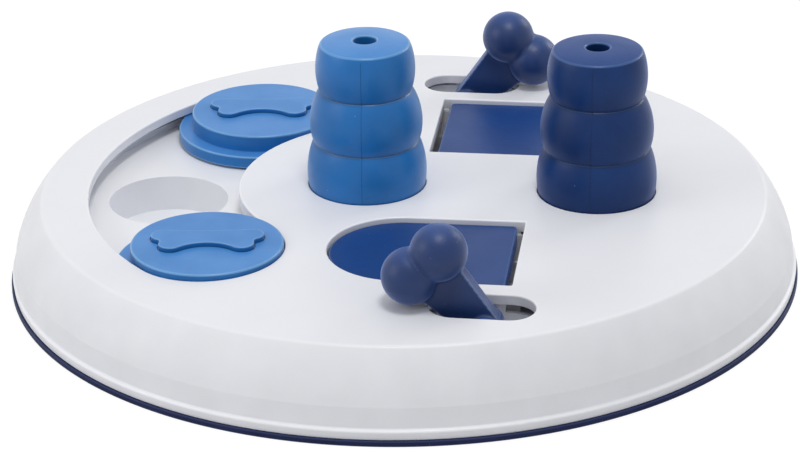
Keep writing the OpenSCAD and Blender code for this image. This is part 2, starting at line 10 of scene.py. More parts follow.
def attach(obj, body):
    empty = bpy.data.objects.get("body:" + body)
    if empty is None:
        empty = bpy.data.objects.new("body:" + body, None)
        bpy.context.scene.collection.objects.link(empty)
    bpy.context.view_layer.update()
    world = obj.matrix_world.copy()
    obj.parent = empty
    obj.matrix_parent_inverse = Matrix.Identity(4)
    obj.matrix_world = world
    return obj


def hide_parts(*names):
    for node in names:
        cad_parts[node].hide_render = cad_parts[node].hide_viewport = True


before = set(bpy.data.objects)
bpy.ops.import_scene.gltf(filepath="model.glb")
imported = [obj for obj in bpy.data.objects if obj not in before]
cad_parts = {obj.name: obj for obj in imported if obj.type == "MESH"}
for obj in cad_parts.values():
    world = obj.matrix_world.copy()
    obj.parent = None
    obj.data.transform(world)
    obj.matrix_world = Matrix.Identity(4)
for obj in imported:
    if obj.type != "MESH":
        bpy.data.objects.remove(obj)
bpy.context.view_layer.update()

# ---- Anti-slip ring ----
# The navy ring that the board stands on. It is moulded from thermoplastic rubber in one piece, has shallow
# grip grooves underneath, and a rib on its upper face is pressed into a groove of the base plate.
mm = 0.001  # every size in this file is in millimetres, and a finished mesh is turned to metres
board_r = 115
ring_in_r, ring_h = 106, 1.7
rib_r, rib_w, rib_h = 108.5, 1.2, 1
grip_grooves, grip_pitch, grip_w, grip_deep = 3, 2.1, 0.9, 0.3
edge_turn = math.radians(14)  # the most that an arc turns from one point to the next
edge_land = 0.25  # a point this far from a rounding keeps the flat beside it flat under smooth shading
smooth_angle = math.radians(38)  # edges that turn by more stay sharp
hollow_w = 0.5  # how far the painted shade of an inner corner spreads
cloud_w, wave_w, wave_deep = 14, 3.5, 0.012  # a plastic's patches of colour, and its shrink waves
dust_apart, dust_colour = 5, "#d8dce4"


def srgb(colour):
    """The linear colour of an sRGB hex value."""
    parts = [int(colour[i : i + 2], 16) / 255 for i in (1, 3, 5)]
    return tuple(c / 12.92 if c <= 0.04045 else ((c + 0.055) / 1.055) ** 2.4 for c in parts) + (1,)


def add(tree, kind, sockets=None, **settings):
    """Adds a node with its settings. Each input named is given a value, or linked to a node or an output."""
    node = tree.nodes.new(kind)
    for name, value in settings.items():
        setattr(node, name, value)
    for name, value in (sockets or {}).items():
        if isinstance(value, bpy.types.Node):
            value = value.outputs[0]
        if isinstance(value, bpy.types.NodeSocket):
            tree.links.new(value, node.inputs[name])
        else:
            node.inputs[name].default_value = value
    return node


def moulded(name, colour, mottle, above, pale, haze, rough, gloss, sheen, grain, grain_deep, specks, corner_shade):
    """A moulded polymer: slightly uneven colour, the fine grain of the tool's spark-eroded or blasted
    face, slow waves where the melt shrank, edges that rubbing makes smoother and that carry a painted
    highlight in a paler colour, a painted top light on faces that look up, painted shade in inner corners,
    and dust specks. mottle is the colour of its patches, above that of the painted top light on faces that
    look up, and pale that of the painted edge highlight. gloss is the specular level, sheen the look at a
    glancing angle and haze its colour. grain and its depth are in millimetres, specks is how much the dust
    shows, and the last argument is how much darker inner corners are painted, as painted shade."""
    material = bpy.data.materials.new(name)
    material.use_nodes = True
    tree = material.node_tree
    shader = tree.nodes["Principled BSDF"]
    shader.inputs["Specular IOR Level"].default_value = gloss
    shader.inputs["Sheen Weight"].default_value = sheen
    shader.inputs["Sheen Roughness"].default_value = 0.35
    shader.inputs["Sheen Tint"].default_value = srgb(haze)
    place = add(tree, "ShaderNodeTexCoord").outputs["Object"]
    cloud = add(tree, "ShaderNodeTexNoise", {"Vector": place, "Scale": 1 / (cloud_w * mm), "Detail": 3})
    fine = add(tree, "ShaderNodeTexNoise", {"Vector": place, "Scale": 1 / (grain * mm), "Detail": 2})
    waves = add(tree, "ShaderNodeTexNoise", {"Vector": place, "Scale": 1 / (wave_w * mm), "Detail": 1})
    dust = add(tree, "ShaderNodeTexVoronoi", {"Vector": place, "Scale": 1 / (dust_apart * mm)})
    uneven = add(tree, "ShaderNodeMapRange", {0: cloud, 1: 0.35, 2: 0.65})
    tinted = add(tree, "ShaderNodeMix", {0: uneven, 6: srgb(colour), 7: srgb(mottle)}, data_type="RGBA")
    # Painted top light: faces that look up are mixed towards the lighter above colour.
    up = add(tree, "ShaderNodeAttribute", attribute_name="upward").outputs["Fac"]
    spread = add(tree, "ShaderNodeMapRange", {0: uneven, 3: 1, 4: 0.75})
    top_light_share = add(tree, "ShaderNodeMath", {0: up, 1: spread}, operation="MULTIPLY")
    top_lit = add(tree, "ShaderNodeMix", {0: top_light_share, 6: tinted.outputs[2], 7: srgb(above)}, data_type="RGBA")
    speck = add(tree, "ShaderNodeMapRange", {0: dust, 1: 0.034, 2: 0.022, 3: 0, 4: specks})
    dusty = add(tree, "ShaderNodeMix", {0: speck, 6: top_lit.outputs[2], 7: srgb(dust_colour)}, data_type="RGBA")
    # Painted highlight: outer edges are mixed half way towards the pale colour; the smoother roughness there
    # is the finish that rubbing leaves.
    edge = add(tree, "ShaderNodeAttribute", attribute_name="edge_rub_and_highlight").outputs["Fac"]
    edge_rub_and_highlight = add(tree, "ShaderNodeMath", {0: edge, 1: 0.5}, operation="MULTIPLY")
    edge_highlighted = add(tree, "ShaderNodeMix", {0: edge_rub_and_highlight, 6: dusty.outputs[2], 7: srgb(pale)}, data_type="RGBA")
    # Painted shade: inner corners are darkened by the share that the last argument gives.
    corner = add(tree, "ShaderNodeAttribute", attribute_name="hollow").outputs["Fac"]
    dim = add(tree, "ShaderNodeMapRange", {0: corner, 3: 1, 4: 1 - corner_shade})
    shaded_in_corners = add(tree, "ShaderNodeVectorMath", {0: edge_highlighted.outputs[2], 3: dim}, operation="SCALE")
    tree.links.new(shaded_in_corners.outputs[0], shader.inputs["Base Color"])
    satin = add(tree, "ShaderNodeMapRange", {0: cloud, 1: 0.3, 2: 0.7, 3: rough - 0.04, 4: rough + 0.04})
    smoother = add(tree, "ShaderNodeMath", {0: edge, 1: -0.12, 2: satin}, operation="MULTIPLY_ADD")
    tree.links.new(smoother.outputs[0], shader.inputs["Roughness"])
    slow = add(tree, "ShaderNodeBump", {"Strength": 0.5, "Distance": wave_deep * mm, "Height": waves})
    bump = add(
        tree, "ShaderNodeBump",
        {"Strength": 1, "Distance": grain_deep * mm, "Height": fine, "Normal": slow},
    )
    tree.links.new(bump.outputs[0], shader.inputs["Normal"])
    return material


def rounded(corners):
    """Points along a path of corners (x, y, radius), each rounded off by its radius."""
    points = []
    for i, (x, y, r) in enumerate(corners):
        here = Vector((x, y))
        if r == 0:
            points.append(here)
            continue
        before, after = Vector(corners[i - 1][:2]) - here, Vector(corners[(i + 1) % len(corners)][:2]) - here
        angle = before.angle(after)
        reach = r / math.tan(angle / 2)
        centre = here + (before.normalized() + after.normalized()).normalized() * r / math.sin(angle / 2)
        sweep = (math.pi - angle) * (1 if before.x * after.y < before.y * after.x else -1)
        steps = max(2, math.ceil(abs(sweep) / edge_turn))
        start = here + before.normalized() * reach - centre
        if before.length > 2 * (reach + edge_land):
            points.append(here + before.normalized() * (reach + edge_land))
        points += [centre + Matrix.Rotation(sweep * k / steps, 2) @ start for k in range(steps + 1)]
        if after.length > 2 * (reach + edge_land):
            points.append(here + after.normalized() * (reach + edge_land))
    return points


def bridge(bm, rings):
    """Joins each ring of points to the next by quads."""
    for low, high in zip(rings, rings[1:]):
        for i in range(len(low)):
            j = (i + 1) % len(low)
            bm.faces.new((low[i], low[j], high[j], high[i]))


def turned(bm, profile, place=Matrix(), closed=True, steps=192):
    """A profile of (radius, height) turned round the Z axis of a place. Gives back its rings."""
    angles = [2 * math.pi * k / steps for k in range(steps)]
    rings = [
        [bm.verts.new(place @ Vector((r * math.cos(a), r * math.sin(a), z))) for a in angles]
        for r, z in profile]
    bridge(bm, rings + rings[:1] if closed else rings)
    return rings


def mark_edges(mesh):
    """Gives each point of a mesh in millimetres three attributes: the first, for the finish that rubbing
    leaves and a painted highlight on outer edges, from 0 on a flat face to 1 on an edge that turns outwards
    with a radius of three quarters of a millimetre or less, "hollow", for painted shade, from 1 in a sharp
    inner corner to 0 half a millimetre away, and "upward", for painted top light, from 0 on a face that leans
    by 53 degrees or more to 1 on one that leans by 18 degrees or less."""
    bm = bmesh.new()
    bm.from_mesh(mesh)
    bm.normal_update()
    edge_rub_and_highlight, hollow, upward = [bm.verts.layers.float.new(label) for label in ("edge_rub_and_highlight", "hollow", "upward")]
    for vert in bm.verts:
        vert[upward] = min(max((vert.normal.z - 0.6) / 0.35, 0), 1)
    for edge in bm.edges:
        turn = edge.calc_face_angle_signed(0)
        if abs(turn) > math.radians(6):
            one, other = edge.link_faces
            sharp = turn / (one.calc_center_median() - other.calc_center_median()).length
            for vert in edge.verts:
                vert[edge_rub_and_highlight] = max(vert[edge_rub_and_highlight], min((sharp - 0.35) / 1, 1))
                vert[hollow] = max(vert[hollow], min((-sharp - 1) / 1, 1))
    # The painted shade of an inner corner spreads to the points close by.
    for edge in list(bm.edges) * 3:
        fade = 1 - edge.calc_length() / hollow_w
        if fade > 0:
            one, other = edge.verts
            before = one[hollow]
            one[hollow] = max(before, other[hollow] * fade)
            other[hollow] = max(other[hollow], before * fade)
    bm.to_mesh(mesh)
    bm.free()


def placed(name, data):
    """A new object in the scene."""
    thing = bpy.data.objects.new(name, data)
    bpy.context.scene.collection.objects.link(thing)
    return thing


def evaluated(thing):
    """A plain mesh of an object as its modifiers leave it."""
    return bpy.data.meshes.new_from_object(thing.evaluated_get(bpy.context.evaluated_depsgraph_get()))


def to_piece(name, mesh, material, place=Matrix(), even=False):
    """Turns a mesh in millimetres into an object in metres, with smooth shading and one material, or its own
    materials where none is given. With even set, large flat faces are kept flat right up to their edges."""
    mesh.transform(place)
    mark_edges(mesh)
    mesh.transform(Matrix.Scale(mm, 4))
    if material:
        mesh.materials.clear()
        mesh.materials.append(material)
    mesh.shade_smooth()
    mesh.set_sharp_from_angle(angle=smooth_angle)
    piece = placed(name, mesh)
    if even:
        flat = piece.modifiers.new("even faces", "WEIGHTED_NORMAL")
        flat.weight = 100
        flat.keep_sharp = True
        piece.data = evaluated(piece)
        piece.modifiers.clear()
    return piece


def finished(name, bm, material, place=Matrix(), even=False):
    """Closes the seams of a mesh, faces it outwards and turns it into an object."""
    bmesh.ops.remove_doubles(bm, verts=bm.verts[:], dist=0.0005)
    bmesh.ops.recalc_face_normals(bm, faces=bm.faces[:])
    mesh = bpy.data.meshes.new(name)
    bm.to_mesh(mesh)
    bm.free()
    return to_piece(name, mesh, material, place, even)


# Thermoplastic rubber, moulded: matt, with a painted highlight along its edges, which are also a little
# smoother, and painted shade in inner corners.
navy_rubber = moulded(
    "moulded thermoplastic rubber, navy", colour="#1c254c", mottle="#171e42", above="#1c254c", pale="#364268",
    haze="#dfe8ff", rough=0.62, gloss=0.15, sheen=0, grain=0.5, grain_deep=0.02, specks=0.1, corner_shade=0.3)
bm = bmesh.new()
grips = []
for k in range(grip_grooves):
    r = ring_in_r + grip_pitch * (k + 1)
    grips += [(r, 0, 0.15), (r, grip_deep, 0.1), (r + grip_w, grip_deep, 0.1), (r + grip_w, 0, 0.15)]
turned(bm, rounded(
    [(ring_in_r, 0, 0.4)] + grips
    + [(board_r, 0, 0.35), (board_r, ring_h, 0.35), (rib_r + rib_w / 2, ring_h, 0),
       (rib_r + rib_w / 2, ring_h + rib_h, 0.2), (rib_r - rib_w / 2, ring_h + rib_h, 0.2),
       (rib_r - rib_w / 2, ring_h, 0), (ring_in_r, ring_h, 0.3)]), steps=256)
grip_ring = finished("grip_ring", bm, navy_rubber)
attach(grip_ring, "board")
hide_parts("anti_slip_ring")

# ---- Base plate ----
# The flat plate that closes the underside, moulded from the cover's white plastic. It has a groove for the
# ring's rib, six recesses for the screw heads, and the round marks of the gate and the ejector pins.
base_r, base_low, base_top = 110.8, 1.7, 3.9
rib_groove_w, rib_groove_top = 1.3, 2.75
screw_n, screw_ring_r, screw_a = 6, 101.5, math.radians(15)
head_recess_r, head_recess_top, screw_hole_r = 2.95, 2.8, 1.45
ejector_n, ejector_ring_r, ejector_r, ejector_deep = 9, 62, 3, 0.15
rim_land, hole_land = 2, 0.8  # the flat that is kept beside a rim or a hole, before a filled face begins


def arc(centre, r, start, end):
    """Points along an arc, from one angle to another, both in degrees."""
    steps = max(2, math.ceil(abs(end - start) / 4))
    angles = [math.radians(start + (end - start) * k / steps) for k in range(steps + 1)]
    return [Vector((centre[0] + r * math.cos(a), centre[1] + r * math.sin(a))) for a in angles]


def walls(bm, outline, steps):
    """Rings of points that follow a closed outline, set out from it by each step's (offset, height), and
    joined into a wall. Gives back the rings."""
    outward = []
    for i, here in enumerate(outline):
        ahead = (outline[(i + 1) % len(outline)] - here).normalized()
        behind = (here - outline[i - 1]).normalized()
        both = Vector((ahead.y + behind.y, -ahead.x - behind.x))
        outward.append(both / (1 + ahead.dot(behind)))
    rings = [
        [bm.verts.new((*(p + out * offset), z)) for p, out in zip(outline, outward)] for offset, z in steps]
    bridge(bm, rings)
    return rings


def fill(bm, *rings):
    """Fills the flat face between rings of points."""
    edges = [bm.edges.get((a, b)) for ring in rings for a, b in zip(ring, ring[1:] + ring[:1])]
    bmesh.ops.triangle_fill(bm, edges=edges, use_beauty=True)


def polar(r, angle):
    """A point at a radius and an angle in radians."""
    return Vector((r * math.cos(angle), r * math.sin(angle)))


def spaced(count, r, start=0):
    """Points evenly round a circle, from a start angle in radians."""
    return [polar(r, start + k * 2 * math.pi / count) for k in range(count)]


# ABS, injection moulded in a tool with a fine spark-eroded face: satin white, faintly grained, with a
# painted highlight along its edges.
white_abs = moulded(
    "injection moulded ABS, white", colour="#eaebf0", mottle="#e6e7ec", above="#eaebf0", pale="#fcfcff",
    haze="#ffffff", rough=0.42, gloss=0.35, sheen=0, grain=0.45, grain_deep=0.008, specks=0, corner_shade=0)
bm = bmesh.new()
rim = turned(bm, rounded(
    [(rib_r - rib_groove_w / 2 - rim_land, base_low, 0), (rib_r - rib_groove_w / 2, base_low, 0.1),
     (rib_r - rib_groove_w / 2, rib_groove_top, 0.1), (rib_r + rib_groove_w / 2, rib_groove_top, 0.1),
     (rib_r + rib_groove_w / 2, base_low, 0.1), (base_r, base_low, 0.3), (base_r, base_top, 0.3),
     (base_r - rim_land, base_top, 0)]), closed=False)
under, above = [rim[0]], [rim[-1]]
for p in spaced(screw_n, screw_ring_r, screw_a):
    hole = turned(bm, rounded(
        [(head_recess_r + hole_land, base_low, 0), (head_recess_r, base_low, 0.2),
         (head_recess_r, head_recess_top, 0.1), (screw_hole_r, head_recess_top, 0.1),
         (screw_hole_r, base_top, 0.2), (screw_hole_r + hole_land, base_top, 0)]),
        Matrix.Translation((*p, 0)), closed=False, steps=48)
    under.append(hole[0])
    above.append(hole[-1])
for p in [(0, 0), *spaced(ejector_n, ejector_ring_r)]:
    mark = turned(bm, rounded(
        [(ejector_r + hole_land, base_low, 0), (ejector_r, base_low, 0.1),
         (ejector_r - 0.1, base_low + ejector_deep, 0.1), (ejector_r / 2, base_low + ejector_deep, 0)]),
        Matrix.Translation((*p, 0)), closed=False, steps=48)
    under.append(mark[0])
    fill(bm, mark[-1])
fill(bm, *under)
fill(bm, *above)
bottom = finished("bottom_plate", bm, white_abs)
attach(bottom, "board")
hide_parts("base_plate")

# ---- Case screws ----
# Six pan-head screws that draw the base plate against the cover's bosses. They are cold-headed carbon
# steel with a rolled thread and a bright zinc plating, and their cross drive shows from below.
thread_pitch, thread_deep = 0.9, 0.25
drive_share, drive_w, drive_deep = 0.7, 0.7, 0.6  # the drive's reach is a share of the head's radius
patch_w, patch_deep = 1.2, 0.01  # the plating's patches


def group(name, inputs):
    """A tree of geometry nodes with named inputs. Gives back the tree, and its inputs by name."""
    tree = bpy.data.node_groups.new(name, "GeometryNodeTree")
    tree.interface.new_socket("Geometry", in_out="INPUT", socket_type="NodeSocketGeometry")
    for label, kind in inputs.items():
        tree.interface.new_socket(label, in_out="INPUT", socket_type="NodeSocket" + kind)
    tree.interface.new_socket("Geometry", in_out="OUTPUT", socket_type="NodeSocketGeometry")
    return tree, add(tree, "NodeGroupInput").outputs


def grown(tree, base, values):
    """The mesh that a tree makes from a base mesh, with the tree's named inputs set to values."""
    stand_in = placed("stand_in", base)
    modifier = stand_in.modifiers.new("nodes", "NODES")
    modifier.node_group = tree
    for item in tree.interface.items_tree:
        if item.in_out == "INPUT" and item.name in values:
            modifier[item.identifier] = values[item.name]
    mesh = evaluated(stand_in)
    bpy.data.objects.remove(stand_in)
    return mesh


def points(places):
    """A mesh of loose points."""
    mesh = bpy.data.meshes.new("points")
    mesh.from_pydata([tuple(p) for p in places], [], [])
    return mesh


def close_ends(bm, rings):
    """Fills the flat face in the first ring and in the last."""
    fill(bm, rings[0])
    fill(bm, rings[-1])


def plain_mesh(bm):
    """A closed mesh in millimetres with its faces outwards."""
    bmesh.ops.recalc_face_normals(bm, faces=bm.faces[:])
    mesh = bpy.data.meshes.new("plain")
    bm.to_mesh(mesh)
    bm.free()
    return mesh


screw_tree, given = group("cross-head screws", {
    "Screw": "Object", "Drive length": "Float", "Drive width": "Float", "Drive depth": "Float",
    "Head height": "Float", "Material": "Material"})
screw_body = add(screw_tree, "GeometryNodeObjectInfo", {"Object": given["Screw"]}).outputs["Geometry"]
slots = add(screw_tree, "GeometryNodeJoinGeometry")
for a, b in [("Drive length", "Drive width"), ("Drive width", "Drive length")]:
    size = add(screw_tree, "ShaderNodeCombineXYZ", {0: given[a], 1: given[b], 2: given["Drive depth"]})
    down = add(screw_tree, "ShaderNodeMath", {0: given["Head height"], 1: -1}, operation="MULTIPLY")
    at = add(screw_tree, "ShaderNodeCombineXYZ", {2: down})
    block = add(screw_tree, "GeometryNodeTransform", {
        "Geometry": add(screw_tree, "GeometryNodeMeshCube", {"Size": size}), "Translation": at})
    screw_tree.links.new(block.outputs[0], slots.inputs[0])
cut_screw = add(
    screw_tree, "GeometryNodeMeshBoolean", {"Mesh 1": screw_body, "Mesh 2": slots, "Self Intersection": True},
    operation="DIFFERENCE", solver="EXACT")
screws = add(screw_tree, "GeometryNodeInstanceOnPoints", {
    "Points": given["Geometry"], "Instance": cut_screw.outputs["Mesh"]})
real = add(screw_tree, "GeometryNodeRealizeInstances", {0: screws})
plated = add(screw_tree, "GeometryNodeSetMaterial", {"Geometry": real, "Material": given["Material"]})
add(screw_tree, "NodeGroupOutput", {0: plated})

# Carbon steel, zinc plated: a cool grey metal with fine bright and dull patches from the bath.
zinc_steel = bpy.data.materials.new("zinc-plated carbon steel")
zinc_steel.use_nodes = True
tree = zinc_steel.node_tree
shader = tree.nodes["Principled BSDF"]
shader.inputs["Metallic"].default_value = 1
place = add(tree, "ShaderNodeTexCoord").outputs["Object"]
patch = add(tree, "ShaderNodeTexNoise", {"Vector": place, "Scale": 1 / (patch_w * mm), "Detail": 4})
plating = add(tree, "ShaderNodeMix", {0: patch, 6: srgb("#b4b8bd"), 7: srgb("#9a9ea6")}, data_type="RGBA")
dulled = add(tree, "ShaderNodeMapRange", {0: patch, 3: 0.28, 4: 0.48})
rough_skin = add(tree, "ShaderNodeBump", {"Strength": 0.6, "Distance": patch_deep * mm, "Height": patch})
tree.links.new(plating.outputs[2], shader.inputs["Base Color"])
tree.links.new(dulled.outputs[0], shader.inputs["Roughness"])
tree.links.new(rough_skin.outputs[0], shader.inputs["Normal"])


def screw_set(name, places, thread_r, length, head_r, head_h):
    """Screws at places, each with its head's upper face there and its shank above it. The thread is drawn as
    rings, which look the same at this size."""
    bm = bmesh.new()
    core_r = thread_r - thread_deep
    thread = []
    for k in range(int(length / thread_pitch) - 1):
        z = 0.5 + k * thread_pitch
        thread += [(core_r, z), (thread_r, z + 0.3 * thread_pitch), (thread_r, z + 0.4 * thread_pitch),
                   (core_r, z + 0.7 * thread_pitch)]
    close_ends(bm, turned(bm, [*rounded(
        [(head_r / 4, -head_h, 0), (head_r, -head_h, 0.45 * head_h), (head_r, 0, 0.1), (core_r, 0, 0.1),
         (core_r, 0.4, 0)]), *thread,
        (0.7 * thread_r, length - 0.3), (0.4 * thread_r, length)], closed=False, steps=32))
    model = placed("screw_model", plain_mesh(bm))
    mesh = grown(screw_tree, points(places), {
        "Screw": model, "Drive length": 2 * drive_share * head_r, "Drive width": drive_w,
        "Drive depth": 2 * drive_deep, "Head height": head_h, "Material": zinc_steel})
    bpy.data.objects.remove(model)
    return to_piece(name, mesh, zinc_steel)


case_places = [(*p, head_recess_top) for p in spaced(screw_n, screw_ring_r, screw_a)]
case_screws = screw_set("case_screws", case_places, thread_r=1.3, length=10.1, head_r=2.8, head_h=1.1)
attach(case_screws, "board")
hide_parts("base_screws")

# ---- Well tray ----
# The inner tray under the cover, one white moulding: the crescent floor with its three round treat wells,
# the wells under the cones and the flaps, the lever pockets and the bearings of the two hinge pins.
tray_edge, pin_edge, plug_edge = 0.45, 0.15, 0.25
wall_top, wall_edge, pocket_wall_y, pocket_rise = 19.8, 0.8, 84, 1.9


def softened(node, width):
    """A merged copy of a CAD node's mesh with its edges rounded, as a mesh in millimetres."""
    bm = bmesh.new()
    bm.from_mesh(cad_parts[node].data)
    bmesh.ops.transform(bm, matrix=Matrix.Scale(1 / mm, 4), verts=bm.verts[:])
    bmesh.ops.remove_doubles(bm, verts=bm.verts[:], dist=0.001)
    bmesh.ops.dissolve_limit(bm, angle_limit=math.radians(1), verts=bm.verts[:], edges=bm.edges[:])
    stand_in = placed("stand_in", plain_mesh(bm))
    bevel = stand_in.modifiers.new("rounded edges", "BEVEL")
    bevel.width = width
    bevel.segments = 3
    bevel.limit_method = "ANGLE"
    bevel.angle_limit = math.radians(40)
    bevel.use_clamp_overlap = True
    mesh = evaluated(stand_in)
    bpy.data.objects.remove(stand_in)
    return mesh


# ABS again, from a polished tool: a little whiter and smoother than the cover, with the same painted
# highlight along its edges.
white_tray = moulded(
    "injection moulded ABS, white, polished", colour="#eff0f4", mottle="#ecedf1", above="#eff0f4",
    pale="#fcfcff", haze="#ffffff", rough=0.36, gloss=0.35, sheen=0, grain=0.8, grain_deep=0.004, specks=0,
    corner_shade=0)
mesh = softened("well_tray", tray_edge)
for vert in mesh.vertices:  # the lever pockets' outer walls reach closer to the cover than the track's walls
    if abs(vert.co.y) > pocket_wall_y and wall_top - wall_edge < vert.co.z < wall_top + 0.1:
        vert.co.z += pocket_rise
tray = to_piece("tray", mesh, white_tray, even=True)
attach(tray, "board")
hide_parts("well_tray")

# ---- Tray screws ----
# Seven small pan-head screws of the same plated steel, which hang the tray from the cover's bosses.
flap_x, flap_y, slot_y = 21.4, 45.2, 79.6
tray_z, floor_z, under_z, board_h = 16.25, 17.85, 22.6, 25
tray_bosses = [(22.9, 0), (88, 0), (65.94, 48.17), (65.94, -48.17), (-33.8, 0)] + [
    polar(85.3, s * math.radians(100)) for s in (1, -1)]
tray_screws = screw_set(
    "hanging_screws", [(*p, tray_z) for p in tray_bosses], thread_r=1.1, length=5.85, head_r=2.2, head_h=1.3)
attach(tray_screws, "board")
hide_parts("tray_screws")

# ---- Sliding discs ----
# Each disc is two light blue mouldings in polypropylene, screwed together from below through the window:
# a wide lower plate with two runners, kept under the window's lips, and the cap that a paw pushes.
track_r, plate_r, plate_z, plate_top, plate_skin = 69.7, 25.7, 18.5, 22.2, 1.8
runner_off, runner_w, runner_low, runner_end_r = 20.1, 1.2, 18.1, 24.4
cap_r, cap_top, cap_wall = 21.5, 27.25, 1.8
disc_screw_n, disc_screw_r, disc_pilot_r, disc_boss_r = 3, 12, 1.02, 2.4
root_in = 0.3  # how far a rib or a boss reaches into the face that carries it
bone_top, bone_groove = 28.55, 0.3
bone_turn = math.radians(6.5)
knuckle_r, back_x, front_x, knuckle_y = 3.4, 12.5, 10, 2.9
shank_back, shank_front, end_hollow_r = 5.6, -2.4, 1.6
# Polypropylene, moulded: saturated light blue, satin, with a soft grain and a few dust specks, a painted top
# light, a painted highlight along the edges and painted shade in inner corners.
light_blue = moulded(
    "injection moulded polypropylene, light blue", colour="#1b71ba", mottle="#1868ac", above="#4087ce",
    pale="#8fc0ea", haze="#d0e6ff", rough=0.38, gloss=0.36, sheen=0.45, grain=0.7, grain_deep=0.03,
    specks=0.3, corner_shade=0.6)


def linked(knuckles, hollows):
    """A closed outline of round knuckles, each joined to the next by a hollow that touches both."""
    outline = []
    joins = []
    for i, hollow in enumerate(hollows):
        a, b = Vector(knuckles[i]), Vector(knuckles[(i + 1) % len(knuckles)])
        across = (b - a).length / 2
        out = Vector(((b - a).y, -(b - a).x)).normalized()
        joins.append((a + b) / 2 + out * math.sqrt((knuckle_r + hollow) ** 2 - across**2))
    for i, centre in enumerate(knuckles):
        coming, leaving = joins[i - 1] - Vector(centre), joins[i] - Vector(centre)
        start, end = math.atan2(coming.y, coming.x), math.atan2(leaving.y, leaving.x)
        while end < start:
            end += 2 * math.pi
        outline += arc(centre, knuckle_r, math.degrees(start), math.degrees(end))
        following = Vector(knuckles[(i + 1) % len(knuckles)])
        first, last = Vector(centre) - joins[i], following - joins[i]
        start, end = math.atan2(first.y, first.x), math.atan2(last.y, last.x)
        while end > start:
            end -= 2 * math.pi
        outline += arc(joins[i], hollows[i], math.degrees(start), math.degrees(end))[1:-1]
    return outline


def hollow_r(x, y, shank):
    """Radius of the hollow that touches knuckles at (-x, y) and (x, y) and passes (0, shank)."""
    away = abs(shank - y) if abs(shank) > abs(y) else -abs(shank - y)
    return (x * x + away * away - knuckle_r**2) / (2 * (knuckle_r - away))


bone_outline = linked(
    [(back_x, knuckle_y), (-back_x, knuckle_y), (-front_x, -knuckle_y), (front_x, -knuckle_y)],
    [hollow_r(back_x, knuckle_y, shank_back), end_hollow_r, hollow_r(front_x, -knuckle_y, shank_front),
     end_hollow_r])
bone_outline = [Matrix.Rotation(bone_turn, 2) @ p for p in bone_outline]
for end, angle in [("front", math.radians(225)), ("back", math.radians(135))]:
    centre = polar(track_r, angle)
    place = Matrix.Translation((*centre, 0))
    bm = bmesh.new()
    plate = turned(bm, rounded(
        [(plate_r - rim_land, plate_top, 0), (plate_r, plate_top, 0.45), (plate_r, plate_z, 0.4),
         (plate_r - plate_skin, plate_z, 0.3), (plate_r - plate_skin, plate_top - plate_skin, 0.3),
         (plate_r - plate_skin - rim_land, plate_top - plate_skin, 0)]), place, closed=False)
    close_ends(bm, plate)
    for s in (1, -1):
        r = track_r + s * runner_off
        half = math.degrees(math.acos((r * r + track_r**2 - runner_end_r**2) / (2 * r * track_r)))
        mid = math.degrees(angle)
        outline = (arc((0, 0), r + runner_w / 2, mid - half, mid + half)
                   + arc((0, 0), r - runner_w / 2, mid + half, mid - half))
        close_ends(bm, walls(bm, outline, rounded(
            [(-0.45, runner_low, 0), (0, runner_low, 0.2), (0, plate_top - plate_skin + root_in, 0)])))
    plate = finished(f"slide_plate_{end}", bm, light_blue)
    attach(plate, f"disc_{end}")
    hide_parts(f"disc_plate_{end}")

    bm = bmesh.new()
    cap = turned(bm, rounded(
        [(cap_r - rim_land, cap_top, 0), (cap_r, cap_top, 0.5), (cap_r, plate_top, 0.15),
         (cap_r - cap_wall, plate_top, 0.2), (cap_r - cap_wall, cap_top - cap_wall, 0.6),
         (cap_r - cap_wall - 3, cap_top - cap_wall, 0)]), place, closed=False)
    bone = walls(bm, [p + centre for p in bone_outline], rounded(
        [(0.6, cap_top, 0), (0.4, cap_top, 0.05), (0.3, cap_top - bone_groove, 0.05),
         (0.05, cap_top - bone_groove, 0), (0, cap_top, 0), (0, bone_top, 0.28), (-1.2, bone_top, 0)]))
    fill(bm, cap[0], bone[0])
    fill(bm, cap[-1])
    fill(bm, bone[-1])
    boss_top = cap_top - cap_wall + root_in
    for p in spaced(disc_screw_n, disc_screw_r):
        turned(bm, rounded(
            [(disc_pilot_r, plate_top, 0.1), (disc_boss_r, plate_top, 0.1), (disc_boss_r, boss_top, 0),
             (disc_pilot_r, boss_top, 0)]), place @ Matrix.Translation((*p, 0)), steps=48)
    cap = finished(f"paw_cap_{end}", bm, light_blue)
    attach(cap, f"disc_{end}")
    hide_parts(f"disc_cap_{end}")

    places = [(*(centre + p), plate_top - plate_skin) for p in spaced(disc_screw_n, disc_screw_r)]
    disc_screws = screw_set(f"cap_screws_{end}", places, thread_r=1, length=6.35, head_r=2, head_h=1.2)
    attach(disc_screws, f"disc_{end}")
    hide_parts(f"disc_screws_{end}")

# ---- Flaps ----
# The two D-shaped lids over the long wells, navy polypropylene. A lid, the barrel under its straight end and
# the tail that thickens that end are one moulding, pressed onto the flat of its hinge pin.
round_x, edge_x, opening_r = -16.3, 16.5, 21
flap_gap, tail_gap, flap_z, flap_top = 0.5, 2.2, 22.1, 24.7
pivot_x, pivot_z, barrel_r, barrel_l = 11, 19.8, 3, 39
tail_l, tail_z = 3.2, 18.8
lid_corner_r, opening_corner_r, bore_r = 1.5, 0.6, 0.5
# Polypropylene, moulded: deep navy, satin, a soft grain, a painted highlight along the edges, a painted top
# light and painted shade in inner corners.
navy = moulded(
    "injection moulded polypropylene, navy", colour="#0f346b", mottle="#0c2c5e", above="#0e3c7c",
    pale="#6484b8", haze="#7f9fff", rough=0.38, gloss=0.22, sheen=0.3, grain=0.7, grain_deep=0.03,
    specks=0.2, corner_shade=0.6)
at_side = {"front": Matrix.Translation((flap_x, 0, 0)),
           "back": Matrix.Translation((flap_x, 0, 0)) @ Matrix.Rotation(math.pi, 4, "Z")}


